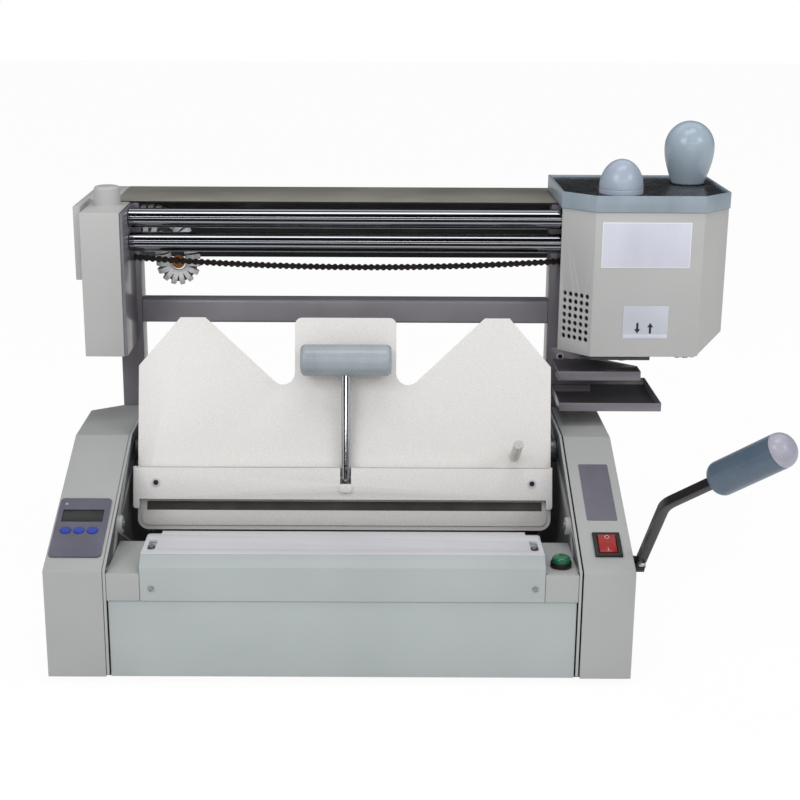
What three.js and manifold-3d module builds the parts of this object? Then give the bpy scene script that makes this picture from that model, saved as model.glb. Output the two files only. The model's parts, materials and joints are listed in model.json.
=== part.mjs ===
// A desktop perfect binding machine: a sheet-metal base with two sloped side covers, a book clamp that
// tips over backwards, a nip unit worked by a hand lever, and a milling and gluing carriage on two rods.
// Millimetres, X to the right, Y away from the operator, Z up.
import * as THREE from "three";
import { mergeVertices } from "three/addons/utils/BufferGeometryUtils.js";
import Module from "manifold-3d";

// Clearances
const seat = 0.3; // between pieces that rest on each other
const bore = 0.3; // round a shaft, pin or rod in its hole
const overrun = 2; // how far a cutting solid passes the face that it opens
const weld = 0.01; // vertices nearer than this are one

// Base and side covers
const coverOuterX = 270;
const leftCoverInnerX = -216;
const rightCoverInnerX = 222.5;
const coverFrontHeight = 105.3;
const coverSlopeRun = 183.5;
const coverTopHeight = 177.5;
const coverDepth = 292;
const coverWall = 1.5;
const coverCornerX = 31;
const coverCornerY = 21;
const leftCheekX = -213; // inner face
const rightCheekX = 218.5; // inner face
const cheekWall = 2.5;
const cheekRise = 0.8; // how far the cheek's edge stands over the cover
const rearDepth = 70;
const baseDepth = coverDepth + rearDepth;
const panWall = 2;
const panFlange = 15;
const rearCoverHeight = 150;
const rearCoverReturn = 22;
const bossRadius = 8.5;
const bossReach = 4.7;
const bossY = 78;
const bossZ = 121.5;
const footRadius = 12;
const footHeight = 6;
const footInset = 40;
const inletWidth = 27;
const inletHeight = 20;
const inletDepth = 22;
const inletLip = 4;
const inletZ = 60;
const inletX = 200;

// Front panel, deck and nip unit
const panelHeight = 76;
const panelSetback = 1.5;
const panelReturn = 14;
const panelGap = 1.2; // to each cheek
const deckHeight = 103;
const deckDepth = 82;
const deckBack = 60; // how far its rear wall hangs down into the well
const nipLeftX = -182;
const nipRightX = 187.6;
const nipFaceHeight = 109.5;
const nipTopHeight = 118;
const nipBevelDepth = 11;
const nipBackY = 72;
const nipPlateThickness = 3;
const nipPlateBackY = 70;
const nipEarY = 61;
const nipEarWidth = 13;
const slotX = 7.7; // from the plate's side to the slot's middle
const slotY = 35;
const slotWidth = 7.5;
const slotLength = 26;
const shaftY = 43;
const shaftZ = 97.2;
const shaftRadius = 4;
const camRadius = 7;
const camThrow = 5;
const camWidth = 12;
const camLeanDeg = 30;
const camX = 120; // each side of the middle
const followerThickness = 3;

// Controls on the slopes
const keyboardWidth = 48.5;
const keyboardStart = 17.5; // up the slope from the front edge
const keyboardLength = 80.8;
const keyboardThickness = 1.6;
const keyboardInset = 3;
const keyboardCorner = 4;
const lcdWidth = 38.4;
const lcdHeight = 16.8;
const lcdStart = 65.1;
const lcdInset = 4.8; // from the plate's left edge
const lcdThickness = 0.8;
const keyWidth = 10.2;
const keyHeight = 8.4;
const keyThickness = 1.6;
const keyTravel = 0.6;
const keyPitch = 12.5;
const keyStart = 52.6; // up the slope to their middles
const keyFirst = 11; // from the plate's left edge
const rockerWidth = 25.5;
const rockerLength = 31.9;
const rockerX = 247.8;
const rockerStart = 37; // up the slope to its middle
const rockerLip = 2;
const rockerBorder = 3;
const rockerDepth = 11;
const rockerTiltDeg = 6;
const paddleDepth = 6;
const buttonX = 204;
const buttonY = 22;
const buttonRingRadius = 9.8;
const buttonRingHeight = 6;
const buttonFloor = 1.5;
const buttonCapRadius = 8.4;
const buttonCapRise = 4; // over the ring
const buttonTravel = 3;
const buttonBarrelRadius = 7.5;
const buttonBarrelLength = 22;

// Posts, crossbar and beam
const postWidth = 24;
const postDepth = 27.5;
const postWall = 2;
const leftPostX = -238.5; // its left face
const rightPostX = 215.5; // its left face
const postGap = 1; // behind the side covers
const postFrontY = coverDepth + postGap;
const crossbarBottom = 268.8;
const crossbarHeight = 24.6;
const crossbarDepth = 25;
const crossbarWall = 2;
const crossbarRound = 3;
const beamLeftX = -239;
const beamRightX = 389.5;
const beamBackY = 399;
const beamTop = 398.5;
const beamWall = 2;
const beamHeight = 78.5;
const beamBottom = beamTop - beamHeight;
const endCoverLeftX = -275.6;
const endCoverFrontY = 253;
const endCoverBottom = 322.5;
const endCoverWall = 1.5;
const endCoverSlot = 5.2; // open between its front part and the box
const endCoverSlotDepth = 20;
const boxLeftX = -263;
const boxRightX = -223;
const boxFrontY = 219;
const boxBottom = 250;
const boxDrop = 1.2;
const boxTop = beamTop - boxDrop;
const boxWall = 1.5;
const capRadius = 13.4;
const capHeight = 19.6;
const capRound = 3;
const capX = -243;
const capY = 272;
const rodPlateThickness = 3;
const rightRodPlateX = 384;
const rightRodPlateBottom = 334;

// Rods and chain
const rodRadius = 10;
const rodY = 261;
const rodDrop = 12.5;
const upperRodZ = beamTop - rodDrop;
const rodSpacing = 24.7;
const chainPitch = 6.35;
const chainWidth = 6;
const chainHigh = 3.1; // half its height at a pin
const chainLow = 2.3; // half its height between pins
const chainY = 287;
const chainDrop = 46;
const chainEndZ = upperRodZ - chainDrop;
const chainSag = 9.6;
const chainSpan = 477; // from the left anchor to where the sprocket lifts it

// Spiral-wrapped cable
const cableRadius = 5.7;
const wrapRadius = 7.6; // to the middle of the band
const bandRadius = 1.2;
const wrapTurns = 26;
const cableY = 311;
const cableDrop = 13.5;
const cableTopZ = beamTop - cableDrop;
const cableLowZ = 363;
const cableLoopX = -177;
const cableLoopZ = 330;
const cableLoopRadius = 15.5;
const cableEndRun = 4; // straight at each end
const cableBendShare = 0.6; // how far a bend's handles reach along it

// Tray and its bracket
const bracketLeftX = 219;
const bracketRightX = 262;
const bracketLift = 4.5; // over the side cover
const bracketHeight = 62;
const bracketBottom = coverTopHeight + bracketLift;
const bracketTop = bracketBottom + bracketHeight;
const bracketWall = 2;
const shelfDrop = 13;
const shelfTop = bracketTop - shelfDrop;
const shelfReach = 53; // in front of the posts
const shelfFrontY = postFrontY - shelfReach;
const shelfRightX = 308;
const shelfFlange = 10;
const shelfCutX = 34;
const shelfCutY = 30;
const trayLeftX = 222;
const trayRightX = 327;
const trayReach = 74;
const trayFrontY = postFrontY - trayReach;
const trayPast = 26; // behind the posts' front
const trayBackY = postFrontY + trayPast;
const trayLift = 21;
const trayTop = bracketBottom + trayLift;
const trayDepth = 9;
const trayWall = 1.5;

// Book clamp, in its own frame: y is minus the reach in front of the hinge axis, z runs up the plate
const clampY = 203;
const clampZ = 157;
const clampLeanDeg = 17;
const plateLeftX = -205.4;
const plateRightX = 209;
const plateFace = 33; // reach of its front face
const plateThickness = 3;
const plateBottom = -80.4;
const plateTop = 132.8;
const plateCorner = 11;
const shoulderRise = 84; // where the upper corners begin to slope in
const shoulderRun = 41.5;
const hornWidth = 25;
const notchDepth = 67.5;
const notchRadius = 12; // its round foot
const tabLeftX = -48.5;
const tabRightX = 53.5;
const tabCorner = 7;
const armWall = 3;
const armLow = -24;
const armHigh = 30;
const armNose = 13; // round the axis
const collarRadius = 12;
const collarGap = 0.8; // to the cheek
const pivotRadius = 6;
const pivotTail = 8; // behind the cheek
const padInset = 4.5;
const padHeight = 15;
const padThickness = 1.6;
const jawLeftX = -208.5;
const jawRightX = 209.3;
const jawBottom = -49.5;
const jawTop = -17;
const jawFace = 44;
const jawWall = 2;
const jawEndDrop = 9.3;
const jawEndWidth = 6;
const jawCorner = 3;
const stemX = 3.2;
const stemRadius = 4.7;
const stemFoot = -28;
const stemFootReach = 39;
const stemTop = 89.5;
const stemTopReach = 50.5;
const stemPinRadius = 2.2;
const stemSlotWidth = 11;
const stemSlotDepth = 17;
const bumpWidth = 12.5;
const bumpHeight = 8.5;
const bumpReach = 2;
const gripLength = 90.5;
const gripRadius = 15.8;
const gripRound = 5;
const pinX = 172.5;
const pinZ = -6;
const pinRadius = 4.9;
const pinLength = 46;
const pinTiltDeg = 16;

// Carriage
const houseLeftX = 221.5;
const houseRightX = 390;
const houseFrontY = 220;
const houseBackY = 288;
const houseBottom = 252;
const houseRise = 1; // over the beam
const houseTop = beamTop + houseRise;
const houseWall = 1.5;
const houseChamfer = 30;
const houseCutX = 32.5; // width of the slanted bottom corner
const houseCutZ = 20;
const ventColumns = 5;
const ventRows = 7;
const ventRadius = 2.6;
const ventPitchX = 7.1;
const ventPitchZ = 7.45;
const ventLow = 268.3;
const sideOpenZ = 331; // from here up the right side is open, so that it clears the rod plate
const lidOver = 1.3;
const lidHeight = 16.4;
const lidBackY = 374;
const lidWall = 2.5;
const lidSink = 2; // how far its top lies under the rim
const fillerX = 279.7;
const fillerY = 250;
const fillerRadius = 22.3;
const fillerHeight = 35;
const fillerPlugRadius = 15;
const fillerPlugDepth = 6;
const eggX = 361;
const eggY = 322;
const eggBaseRadius = 16.6;
const eggRadius = 25.8;
const eggHeight = 66;
const eggWidestShare = 0.58;
const frameLeftX = 239.5;
const frameRightX = 372;
const frameBottom = 345.5;
const frameFloor = 3.3;
const frameEnd = 10;
const frameBlock = 46;
const frameDrop = 0.8;
const frameTop = houseTop - frameDrop;
const frameBackY = 279.5;
const frameFrontY = 236;
const frameBackWall = 7;
const potLeftX = 243.5;
const potCorner = 9.5;
const potRightX = 313;
const potFrontY = 222.5;
const potBackY = 279.5;
const potBottom = 247.5;
const potTop = 345.2;
const potWall = 3;
const rollerX = 285;
const rollerZ = 259.5;
const rollerRadius = 13.5;
const rollerShaftRadius = 4;
const rollerSlotShare = 0.9; // of the roller's width, open below
const pulleyRadius = 9;
const pulleyWidth = 2.6;
const beltThickness = 1.4;
const beltY = 281.8;
const sprocketX = 262;
const sprocketZ = 362.5;
const sprocketRadius = 16.2;
const sprocketTooth = 2.4;
const sprocketTeeth = 15;
const sprocketToothShares = [0, 0.3, 0.5, 0.8]; // of one pitch: gap, gap, tip, tip
const sprocketWidth = 2.4;
const motorX = 350;
const motorY = 253;
const motorRadius = 22;
const motorBottom = 276;
const cutterRadius = 18;
const cutterTop = 252.5;
const cutterBottom = 246.8;
const cutterTeeth = 12;
const cutterToothShares = [0, 0.45, 0.6, 0.9]; // of one pitch: tip, tip, gullet, gullet
const cutterGullet = 3;
const cutterShaftRadius = 4;

// Hand lever: sizes in its own plane through the shaft's axis, which leans towards the operator at rest
const leverLeanDeg = 44;
const hubRadius = 8;
const hubLeftX = 270.8;
const armBar = 8; // each side of the square bar
const armLeftX = 276;
const armEyeRadius = 7.6;
const shaftEnd = 1.5; // past the bar
const elbowX = 282.5;
const elbowRound = 9;
const gripStartX = 316.3;
const gripStartReach = 170.9; // from the shaft's axis
const gripEndX = 366.1;
const gripEndReach = 236;
const leverGripRadius = 15.2;
const leverGripDome = 13.5; // rounding of its outer end
const leverGripRound = 9; // rounding of its inner end
const leverGripCap = 14; // from the bar's end to the grip's
const gripSlope = Math.atan2(gripEndReach - gripStartReach, gripEndX - gripStartX);
const elbowReach = gripStartReach - (gripStartX - elbowX) * Math.tan(gripSlope);

const wasm = await Module();
wasm.setup();

// Finishes
function finish(color, roughness, metalness = 0) {
  return new THREE.MeshStandardMaterial({ color, roughness, metalness });
}
const lightGrey = finish("#b9bab9", 0.5);
const paleGrey = finish("#c6cbcb", 0.5);
const plateWhite = finish("#d8d7d3", 0.55);
const nipWhite = finish("#d3d4da", 0.45);
const framePaint = finish("#57555a", 0.25);
const darkSteel = finish("#3a3a3d", 0.5, 0.3);
const chrome = finish("#c9ccd0", 0.15, 1);
const steel = finish("#8d8f93", 0.35, 1);
const aluminium = finish("#aeb0b2", 0.4, 1);
const knobBlue = finish("#8fa2ab", 0.2);
const lidBlue = finish("#7f929c", 0.3);
const blackPlastic = finish("#161618", 0.35);
const panelPurple = finish("#65636f", 0.4);
const lcdBlue = finish("#1f3a5c", 0.15);
const keyBlue = finish("#2f62c8", 0.3);
const rockerRed = finish("#c21414", 0.25);
const buttonGreen = finish("#0b7a4b", 0.3);
const rubber = finish("#1d1d1f", 0.8);
const chainSteel = finish("#3d3836", 0.45, 0.8);
const wrapWhite = finish("#dfe2e4", 0.35);

// Booleans: a closed geometry becomes a solid, and a solid a geometry again
function solidOf(geometry) {
  const bare = geometry.index ? geometry.toNonIndexed() : geometry.clone();
  bare.deleteAttribute("normal");
  bare.deleteAttribute("uv");
  const merged = mergeVertices(bare, weld);
  const vertProperties = merged.attributes.position.array;
  const triVerts = new Uint32Array(merged.index.array);
  return new wasm.Manifold(new wasm.Mesh({ numProp: 3, vertProperties, triVerts }));
}

function geometryOf(solid) {
  const mesh = solid.getMesh();
  const geometry = new THREE.BufferGeometry();
  geometry.setAttribute("position", new THREE.BufferAttribute(mesh.vertProperties, 3));
  geometry.setIndex(new THREE.BufferAttribute(mesh.triVerts, 1));
  const flat = geometry.toNonIndexed();
  flat.computeVertexNormals();
  return flat;
}

function join(...geometries) {
  return geometryOf(geometries.map(solidOf).reduce((whole, piece) => whole.add(piece)));
}

function cut(geometry, ...tools) {
  return geometryOf(tools.map(solidOf).reduce((left, tool) => left.subtract(tool), solidOf(geometry)));
}

// Basic solids, given by their limits
function block(x0, x1, y0, y1, z0, z1) {
  return new THREE.BoxGeometry(x1 - x0, y1 - y0, z1 - z0)
    .translate((x0 + x1) / 2, (y0 + y1) / 2, (z0 + z1) / 2);
}

function outline(points) {
  return new THREE.Shape(points.map(([a, b]) => new THREE.Vector2(a, b)));
}

function extruded(shape, depth, curveSegments = 6) {
  return new THREE.ExtrudeGeometry(shape, { depth, bevelEnabled: false, curveSegments });
}

const sideways = new THREE.Matrix4().makeBasis(
  new THREE.Vector3(0, 1, 0),
  new THREE.Vector3(0, 0, 1),
  new THREE.Vector3(1, 0, 0),
);
const facing = new THREE.Matrix4().makeBasis(
  new THREE.Vector3(1, 0, 0),
  new THREE.Vector3(0, 0, 1),
  new THREE.Vector3(0, -1, 0),
);

// An outline in Y and Z carried along X, in X and Z carried along Y, and in X and Y carried along Z
function alongX(shape, x0, x1, curveSegments) {
  return extruded(shape, x1 - x0, curveSegments).applyMatrix4(sideways).translate(x0, 0, 0);
}

function alongY(shape, y0, y1, curveSegments) {
  return extruded(shape, y1 - y0, curveSegments).applyMatrix4(facing).translate(0, y1, 0);
}

function alongZ(shape, z0, z1, curveSegments) {
  return extruded(shape, z1 - z0, curveSegments).translate(0, 0, z0);
}

function discX(y, z, radius, x0, x1, sides = 24) {
  return new THREE.CylinderGeometry(radius, radius, x1 - x0, sides)
    .rotateZ(-Math.PI / 2)
    .translate((x0 + x1) / 2, y, z);
}

function discY(x, z, radius, y0, y1, sides = 24) {
  return new THREE.CylinderGeometry(radius, radius, y1 - y0, sides).translate(x, (y0 + y1) / 2, z);
}

function discZ(x, y, radius, z0, z1, sides = 24) {
  return new THREE.CylinderGeometry(radius, radius, z1 - z0, sides)
    .rotateX(Math.PI / 2)
    .translate(x, y, (z0 + z1) / 2);
}

// A rectangle with round corners, each corner's radius given in turn from the lower left, anticlockwise
function roundedShape(x0, x1, y0, y1, radii) {
  const [lowerLeft, lowerRight, upperRight, upperLeft] = radii;
  const shape = new THREE.Shape();
  shape.moveTo(x0 + lowerLeft, y0);
  shape.lineTo(x1 - lowerRight, y0);
  if (lowerRight) shape.absarc(x1 - lowerRight, y0 + lowerRight, lowerRight, -Math.PI / 2, 0);
  shape.lineTo(x1, y1 - upperRight);
  if (upperRight) shape.absarc(x1 - upperRight, y1 - upperRight, upperRight, 0, Math.PI / 2);
  shape.lineTo(x0 + upperLeft, y1);
  if (upperLeft) shape.absarc(x0 + upperLeft, y1 - upperLeft, upperLeft, Math.PI / 2, Math.PI);
  shape.lineTo(x0, y0 + lowerLeft);
  if (lowerLeft) shape.absarc(x0 + lowerLeft, y0 + lowerLeft, lowerLeft, Math.PI, Math.PI * 1.5);
  return shape;
}

function allRound(x0, x1, y0, y1, radius) {
  return roundedShape(x0, x1, y0, y1, [radius, radius, radius, radius]);
}

// A turned piece from radius and height pairs that start and end on the axis
function turned(profile, sides = 28) {
  const points = profile.map(([radius, height]) => new THREE.Vector2(radius, height));
  return new THREE.LatheGeometry(points, sides).rotateX(Math.PI / 2);
}

// The quarter circle of a turned profile, from the side up to the top
function roundOver(radius, height, round, steps = 4) {
  const points = [];
  for (let step = 0; step <= steps; step += 1) {
    const angle = (Math.PI / 2) * (step / steps);
    points.push([radius - round + round * Math.cos(angle), height - round + round * Math.sin(angle)]);
  }
  return points;
}

// A tube along a curve
function tube(curve, radius, steps, sides) {
  const ring = new THREE.Shape();
  ring.absarc(0, 0, radius, 0, Math.PI * 2);
  const section = new THREE.Shape(ring.getPoints(sides).slice(0, sides));
  return new THREE.ExtrudeGeometry(section, { extrudePath: curve, steps, curveSegments: 1 });
}

const machine = new THREE.Group();

function place(name, geometry, material, parent = machine) {
  const mesh = new THREE.Mesh(geometry, material);
  mesh.name = name;
  parent.add(mesh);
  return mesh;
}

// Base pan: a floor with its edges folded up, slotted at the front for the cheek plates
const panX = coverOuterX - coverWall - seat;
const panFrontY = panelSetback + coverWall + seat;
const panBackY = baseDepth - coverWall - seat;

function basePan() {
  const whole = block(-panX, panX, panFrontY, panBackY, 0, panFlange);
  const room = block(
    -panX + panWall,
    panX - panWall,
    panFrontY + panWall,
    panBackY - panWall,
    panWall,
    panFlange + overrun,
  );
  const slots = [
    [leftCheekX - cheekWall, leftCheekX],
    [rightCheekX, rightCheekX + cheekWall],
  ].map(([x0, x1]) => {
    const back = panFrontY + panWall + seat;
    return block(x0 - seat, x1 + seat, panFrontY - overrun, back, panWall, panFlange + overrun);
  });
  place("base_pan", cut(whole, room, ...slots), darkSteel);
}

function feet() {
  const spots = {
    foot_front_left: [-panX + footInset, panFrontY + footInset],
    foot_front_right: [panX - footInset, panFrontY + footInset],
    foot_rear_left: [-panX + footInset, panBackY - footInset],
    foot_rear_right: [panX - footInset, panBackY - footInset],
  };
  for (const [name, [x, y]] of Object.entries(spots)) {
    place(name, discZ(x, y, footRadius, -footHeight, -seat, 20), rubber);
  }
}

// Side covers: folded shells, open below and towards the machine's middle
const slopeAngle = Math.atan2(coverTopHeight - coverFrontHeight, coverSlopeRun);

function coverOutline(inset, foot) {
  const drop = inset / Math.cos(slopeAngle);
  const frontTop = coverFrontHeight + inset * Math.tan(slopeAngle) - drop;
  const slopeTop = coverSlopeRun + (drop - inset) / Math.tan(slopeAngle);
  return outline([
    [inset, foot],
    [coverDepth - inset, foot],
    [coverDepth - inset, coverTopHeight - inset],
    [slopeTop, coverTopHeight - inset],
    [inset, frontTop],
  ]);
}

function coverShell(innerX, side) {
  const outerX = side * coverOuterX;
  const low = Math.min(innerX, outerX);
  const high = Math.max(innerX, outerX);
  const roomLow = side < 0 ? low + coverWall : low - overrun;
  const roomHigh = side < 0 ? high + overrun : high - coverWall;
  const shell = alongX(coverOutline(0, 0), low, high);
  const room = alongX(coverOutline(coverWall, -overrun), roomLow, roomHigh);
  const heel = block(
    roomLow,
    roomHigh,
    coverDepth - coverWall - overrun,
    coverDepth + overrun,
    -overrun,
    panFlange + seat,
  );
  return cut(shell, room, heel);
}

// The left cover's outer rear corner is sliced off in plan
function leftCover() {
  const whole = coverShell(leftCoverInnerX, -1);
  const corner = outline([
    [-coverOuterX - overrun, coverDepth - coverCornerY - overrun * coverCornerY / coverCornerX],
    [-coverOuterX + coverCornerX + overrun * coverCornerX / coverCornerY, coverDepth + overrun],
    [-coverOuterX - overrun, coverDepth + overrun],
  ]);
  const slice = alongZ(corner, -overrun, coverTopHeight + overrun);
  place("left_side_cover", cut(whole, slice), lightGrey);
}

function rightCover() {
  const shaftHole = discX(
    shaftY,
    shaftZ,
    shaftRadius + bore,
    coverOuterX - coverWall - overrun,
    coverOuterX + overrun,
  );
  const across = rockerWidth / 2 - rockerBorder + bore;
  const along = rockerLength / 2 - rockerBorder + bore;
  const switchHole = block(-across, across, -along, along, -rockerDepth, rockerDepth)
    .translate(rockerX, rockerStart, 0)
    .rotateX(slopeAngle)
    .translate(0, 0, coverFrontHeight);
  place("right_side_cover", cut(coverShell(rightCoverInnerX, 1), shaftHole, switchHole), lightGrey);
}

// Cheek plates close the covers on the inside and carry the clamp and the nip shaft
function cheekOutline() {
  return outline([
    [0, panWall + seat],
    [coverDepth - seat, panWall + seat],
    [coverDepth - seat, coverTopHeight + cheekRise],
    [coverSlopeRun, coverTopHeight + cheekRise],
    [0, coverFrontHeight + cheekRise],
  ]);
}

function cheek(name, innerX, side) {
  const outerX = innerX + side * cheekWall;
  const low = Math.min(innerX, outerX);
  const high = Math.max(innerX, outerX);
  const bossEnd = innerX - side * bossReach;
  const boss = discX(bossY, bossZ, bossRadius, Math.min(bossEnd, outerX), Math.max(bossEnd, outerX), 20);
  const plate = join(alongX(cheekOutline(), low, high), boss);
  const clampHole = discX(clampY, clampZ, pivotRadius + bore, low - overrun, high + overrun);
  const shaftHole = discX(shaftY, shaftZ, shaftRadius + bore, low - overrun, high + overrun);
  place(name, cut(plate, clampHole, shaftHole), lightGrey);
}

// Rear cover: back wall and two short side walls behind the side covers
function rearCover() {
  const sideX = coverOuterX - seat;
  const frontY = coverDepth + seat;
  const whole = block(-sideX, sideX, frontY, baseDepth, panWall / 2, rearCoverHeight);
  const room = block(
    -sideX + coverWall,
    sideX - coverWall,
    frontY - overrun,
    baseDepth - coverWall,
    -overrun,
    rearCoverHeight - coverWall,
  );
  const well = block(
    -sideX + rearCoverReturn,
    sideX - rearCoverReturn,
    frontY - overrun,
    baseDepth - coverWall - seat,
    rearCoverHeight - coverWall - overrun,
    rearCoverHeight + overrun,
  );
  const halfWidth = inletWidth / 2 + bore;
  const halfHeight = inletHeight / 2 + bore;
  const inletHole = block(
    inletX - halfWidth,
    inletX + halfWidth,
    baseDepth - coverWall - overrun,
    baseDepth + overrun,
    inletZ - halfHeight,
    inletZ + halfHeight,
  );
  place("rear_cover", cut(whole, room, well, inletHole), lightGrey);
}

// Mains inlet: a flanged block with a recess for the plug
function powerInlet() {
  const halfWidth = inletWidth / 2;
  const halfHeight = inletHeight / 2;
  const lipFront = baseDepth + seat;
  const lipBack = lipFront + rockerLip;
  const body = block(
    inletX - halfWidth,
    inletX + halfWidth,
    lipFront - inletDepth,
    lipBack,
    inletZ - halfHeight,
    inletZ + halfHeight,
  );
  const lip = block(
    inletX - halfWidth - inletLip,
    inletX + halfWidth + inletLip,
    lipFront,
    lipBack,
    inletZ - halfHeight - inletLip,
    inletZ + halfHeight + inletLip,
  );
  const recess = block(
    inletX - halfWidth + panWall,
    inletX + halfWidth - panWall,
    lipFront - inletDepth + panWall,
    lipBack + overrun,
    inletZ - halfHeight + panWall,
    inletZ + halfHeight - panWall,
  );
  place("power_inlet", cut(join(body, lip), recess), blackPlastic);
}

// Lower front panel, folded back along its top and bottom
function lowerFrontPanel() {
  const frontY = panelSetback;
  const shape = outline([
    [frontY, 0],
    [frontY + coverWall, 0],
    [frontY + coverWall, panelHeight - coverWall],
    [frontY + panelReturn, panelHeight - coverWall],
    [frontY + panelReturn, panelHeight],
    [frontY, panelHeight],
  ]);
  const sheet = alongX(shape, leftCheekX + panelGap, rightCheekX - panelGap);
  place("lower_front_panel", sheet, paleGrey);
}

// Deck: a folded sheet round three sides of the nip unit, with the well's front wall behind it
function deck() {
  const face = panelHeight + seat;
  const shape = outline([
    [0, face],
    [coverWall, face],
    [coverWall, deckHeight - coverWall],
    [deckDepth - coverWall, deckHeight - coverWall],
    [deckDepth - coverWall, deckHeight - deckBack],
    [deckDepth, deckHeight - deckBack],
    [deckDepth, deckHeight],
    [0, deckHeight],
  ]);
  const sheet = alongX(shape, leftCheekX + seat, rightCheekX - seat);
  const gap = block(
    nipLeftX - seat,
    nipRightX + seat,
    -overrun,
    nipBackY + seat,
    face - overrun,
    deckHeight + overrun,
  );
  const buttonHole = discZ(
    buttonX,
    buttonY,
    buttonBarrelRadius + bore,
    deckHeight - coverWall - overrun,
    deckHeight + overrun,
    20,
  );
  place("deck", cut(sheet, gap, buttonHole), lightGrey);
}

// Nip unit: a folded housing with a bevelled front, and a white plate that slides on it
const nipPlateBottom = nipTopHeight - nipPlateThickness;
const nipBedTop = nipPlateBottom - seat;
const camLean = THREE.MathUtils.degToRad(camLeanDeg);
const followerY = shaftY - camThrow * Math.sin(camLean) + camRadius + seat * 2;

function nipHousing() {
  const face = panelHeight + seat;
  const bevelFoot = nipFaceHeight;
  const shape = outline([
    [0, face],
    [coverWall, face],
    [coverWall, bevelFoot - coverWall],
    [nipBevelDepth, nipBedTop - coverWall],
    [nipBackY - coverWall, nipBedTop - coverWall],
    [nipBackY - coverWall, face],
    [nipBackY, face],
    [nipBackY, nipBedTop],
    [nipBevelDepth + seat, nipBedTop],
    [nipBevelDepth - seat, nipTopHeight],
    [0, bevelFoot],
  ]);
  const folded = alongX(shape, nipLeftX, nipRightX);
  const middle = (nipLeftX + nipRightX) / 2;
  const openings = [-camX, camX].map((x) =>
    block(
      middle + x - camWidth / 2 - seat,
      middle + x + camWidth / 2 + seat,
      followerY - seat,
      followerY + followerThickness + camThrow + seat * 2,
      nipBedTop - coverWall - overrun,
      nipBedTop + overrun,
    ),
  );
  place("nip_housing", cut(folded, ...openings), paleGrey);
}

// The white plate, with an ear at each end that has a slotted hole, and two lugs that follow the cams
function nipPlate() {
  const left = nipLeftX;
  const right = nipRightX;
  const frontY = nipBevelDepth + seat;
  const shape = outline([
    [left, frontY],
    [right, frontY],
    [right, nipEarY],
    [right - nipEarWidth, nipEarY],
    [right - nipEarWidth, nipPlateBackY],
    [left + nipEarWidth, nipPlateBackY],
    [left + nipEarWidth, nipEarY],
    [left, nipEarY],
  ]);
  for (const x of [left + slotX, right - slotX]) {
    const round = slotWidth / 2;
    shape.holes.push(allRound(x - round, x + round, slotY - slotLength / 2, slotY + slotLength / 2, round));
  }
  const plate = alongZ(shape, nipPlateBottom, nipTopHeight, 4);
  const middle = (left + right) / 2;
  const lugs = [-camX, camX].map((x) =>
    block(
      middle + x - camWidth / 2,
      middle + x + camWidth / 2,
      followerY,
      followerY + followerThickness,
      shaftZ - camRadius,
      nipPlateBottom + overrun / 2,
    ),
  );
  place("nip_plate", join(plate, ...lugs), nipWhite);
}

// Nip shaft, from the left cheek to the lever, with two eccentric cams that lean back and down at rest
function nipShaft() {
  const middle = (nipLeftX + nipRightX) / 2;
  const camY = shaftY - camThrow * Math.sin(camLean);
  const camZ = shaftZ - camThrow * Math.cos(camLean);
  const endX = armLeftX + armBar + shaftEnd;
  const bar = discX(shaftY, shaftZ, shaftRadius, leftCheekX - cheekWall, endX, 24);
  const cams = [-camX, camX].map((x) =>
    discX(camY, camZ, camRadius, middle + x - camWidth / 2, middle + x + camWidth / 2),
  );
  place("nip_shaft", join(bar, ...cams), steel);
}

// Hand lever: a black collar, a bent bar with an eye on the shaft, and a round grip
const armX = armLeftX + armBar / 2;

function leverHub() {
  const collar = discX(shaftY, shaftZ, hubRadius, hubLeftX, armLeftX - seat, 20);
  const hole = discX(shaftY, shaftZ, shaftRadius + bore, hubLeftX - overrun, armLeftX + overrun);
  place("lever_hub", cut(collar, hole), blackPlastic);
}

// Turns a piece drawn with its reach along Z into the lever's leaning plane
function onLever(geometry) {
  return geometry.rotateX(THREE.MathUtils.degToRad(leverLeanDeg)).translate(0, shaftY, shaftZ);
}

// A strip of one width along a bent line, mitred at each bend
function stripOutline(points, width) {
  const normals = points.slice(1).map((point, index) => {
    const along = point.clone().sub(points[index]).normalize();
    return new THREE.Vector2(-along.y, along.x);
  });
  const edge = (side) =>
    points.map((point, index) => {
      const before = normals[Math.max(index - 1, 0)];
      const after = normals[Math.min(index, normals.length - 1)];
      const offset = before.clone().add(after).multiplyScalar(1 / (1 + before.dot(after)));
      return point.clone().addScaledVector(offset, (side * width) / 2);
    });
  return new THREE.Shape([...edge(-1), ...edge(1).reverse()]);
}

function leverArm() {
  const foot = new THREE.Vector2(armX, 0);
  const elbow = new THREE.Vector2(elbowX, elbowReach);
  const upGrip = new THREE.Vector2(Math.cos(gripSlope), Math.sin(gripSlope));
  const toFoot = foot.clone().sub(elbow).normalize();
  const before = elbow.clone().addScaledVector(toFoot, elbowRound);
  const after = elbow.clone().addScaledVector(upGrip, elbowRound);
  const end = new THREE.Vector2(gripEndX, gripEndReach).addScaledVector(upGrip, -leverGripCap - seat);
  const bend = new THREE.QuadraticBezierCurve(before, elbow, after).getPoints(4);
  const bar = alongY(stripOutline([foot, ...bend, end], armBar), -armBar / 2, armBar / 2);
  const eye = discX(0, 0, armEyeRadius, armLeftX, armLeftX + armBar, 24);
  const hole = discX(0, 0, shaftRadius + bore, armLeftX - overrun, armLeftX + armBar + overrun);
  place("lever_arm", onLever(cut(join(bar, eye), hole)), darkSteel);
}

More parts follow.
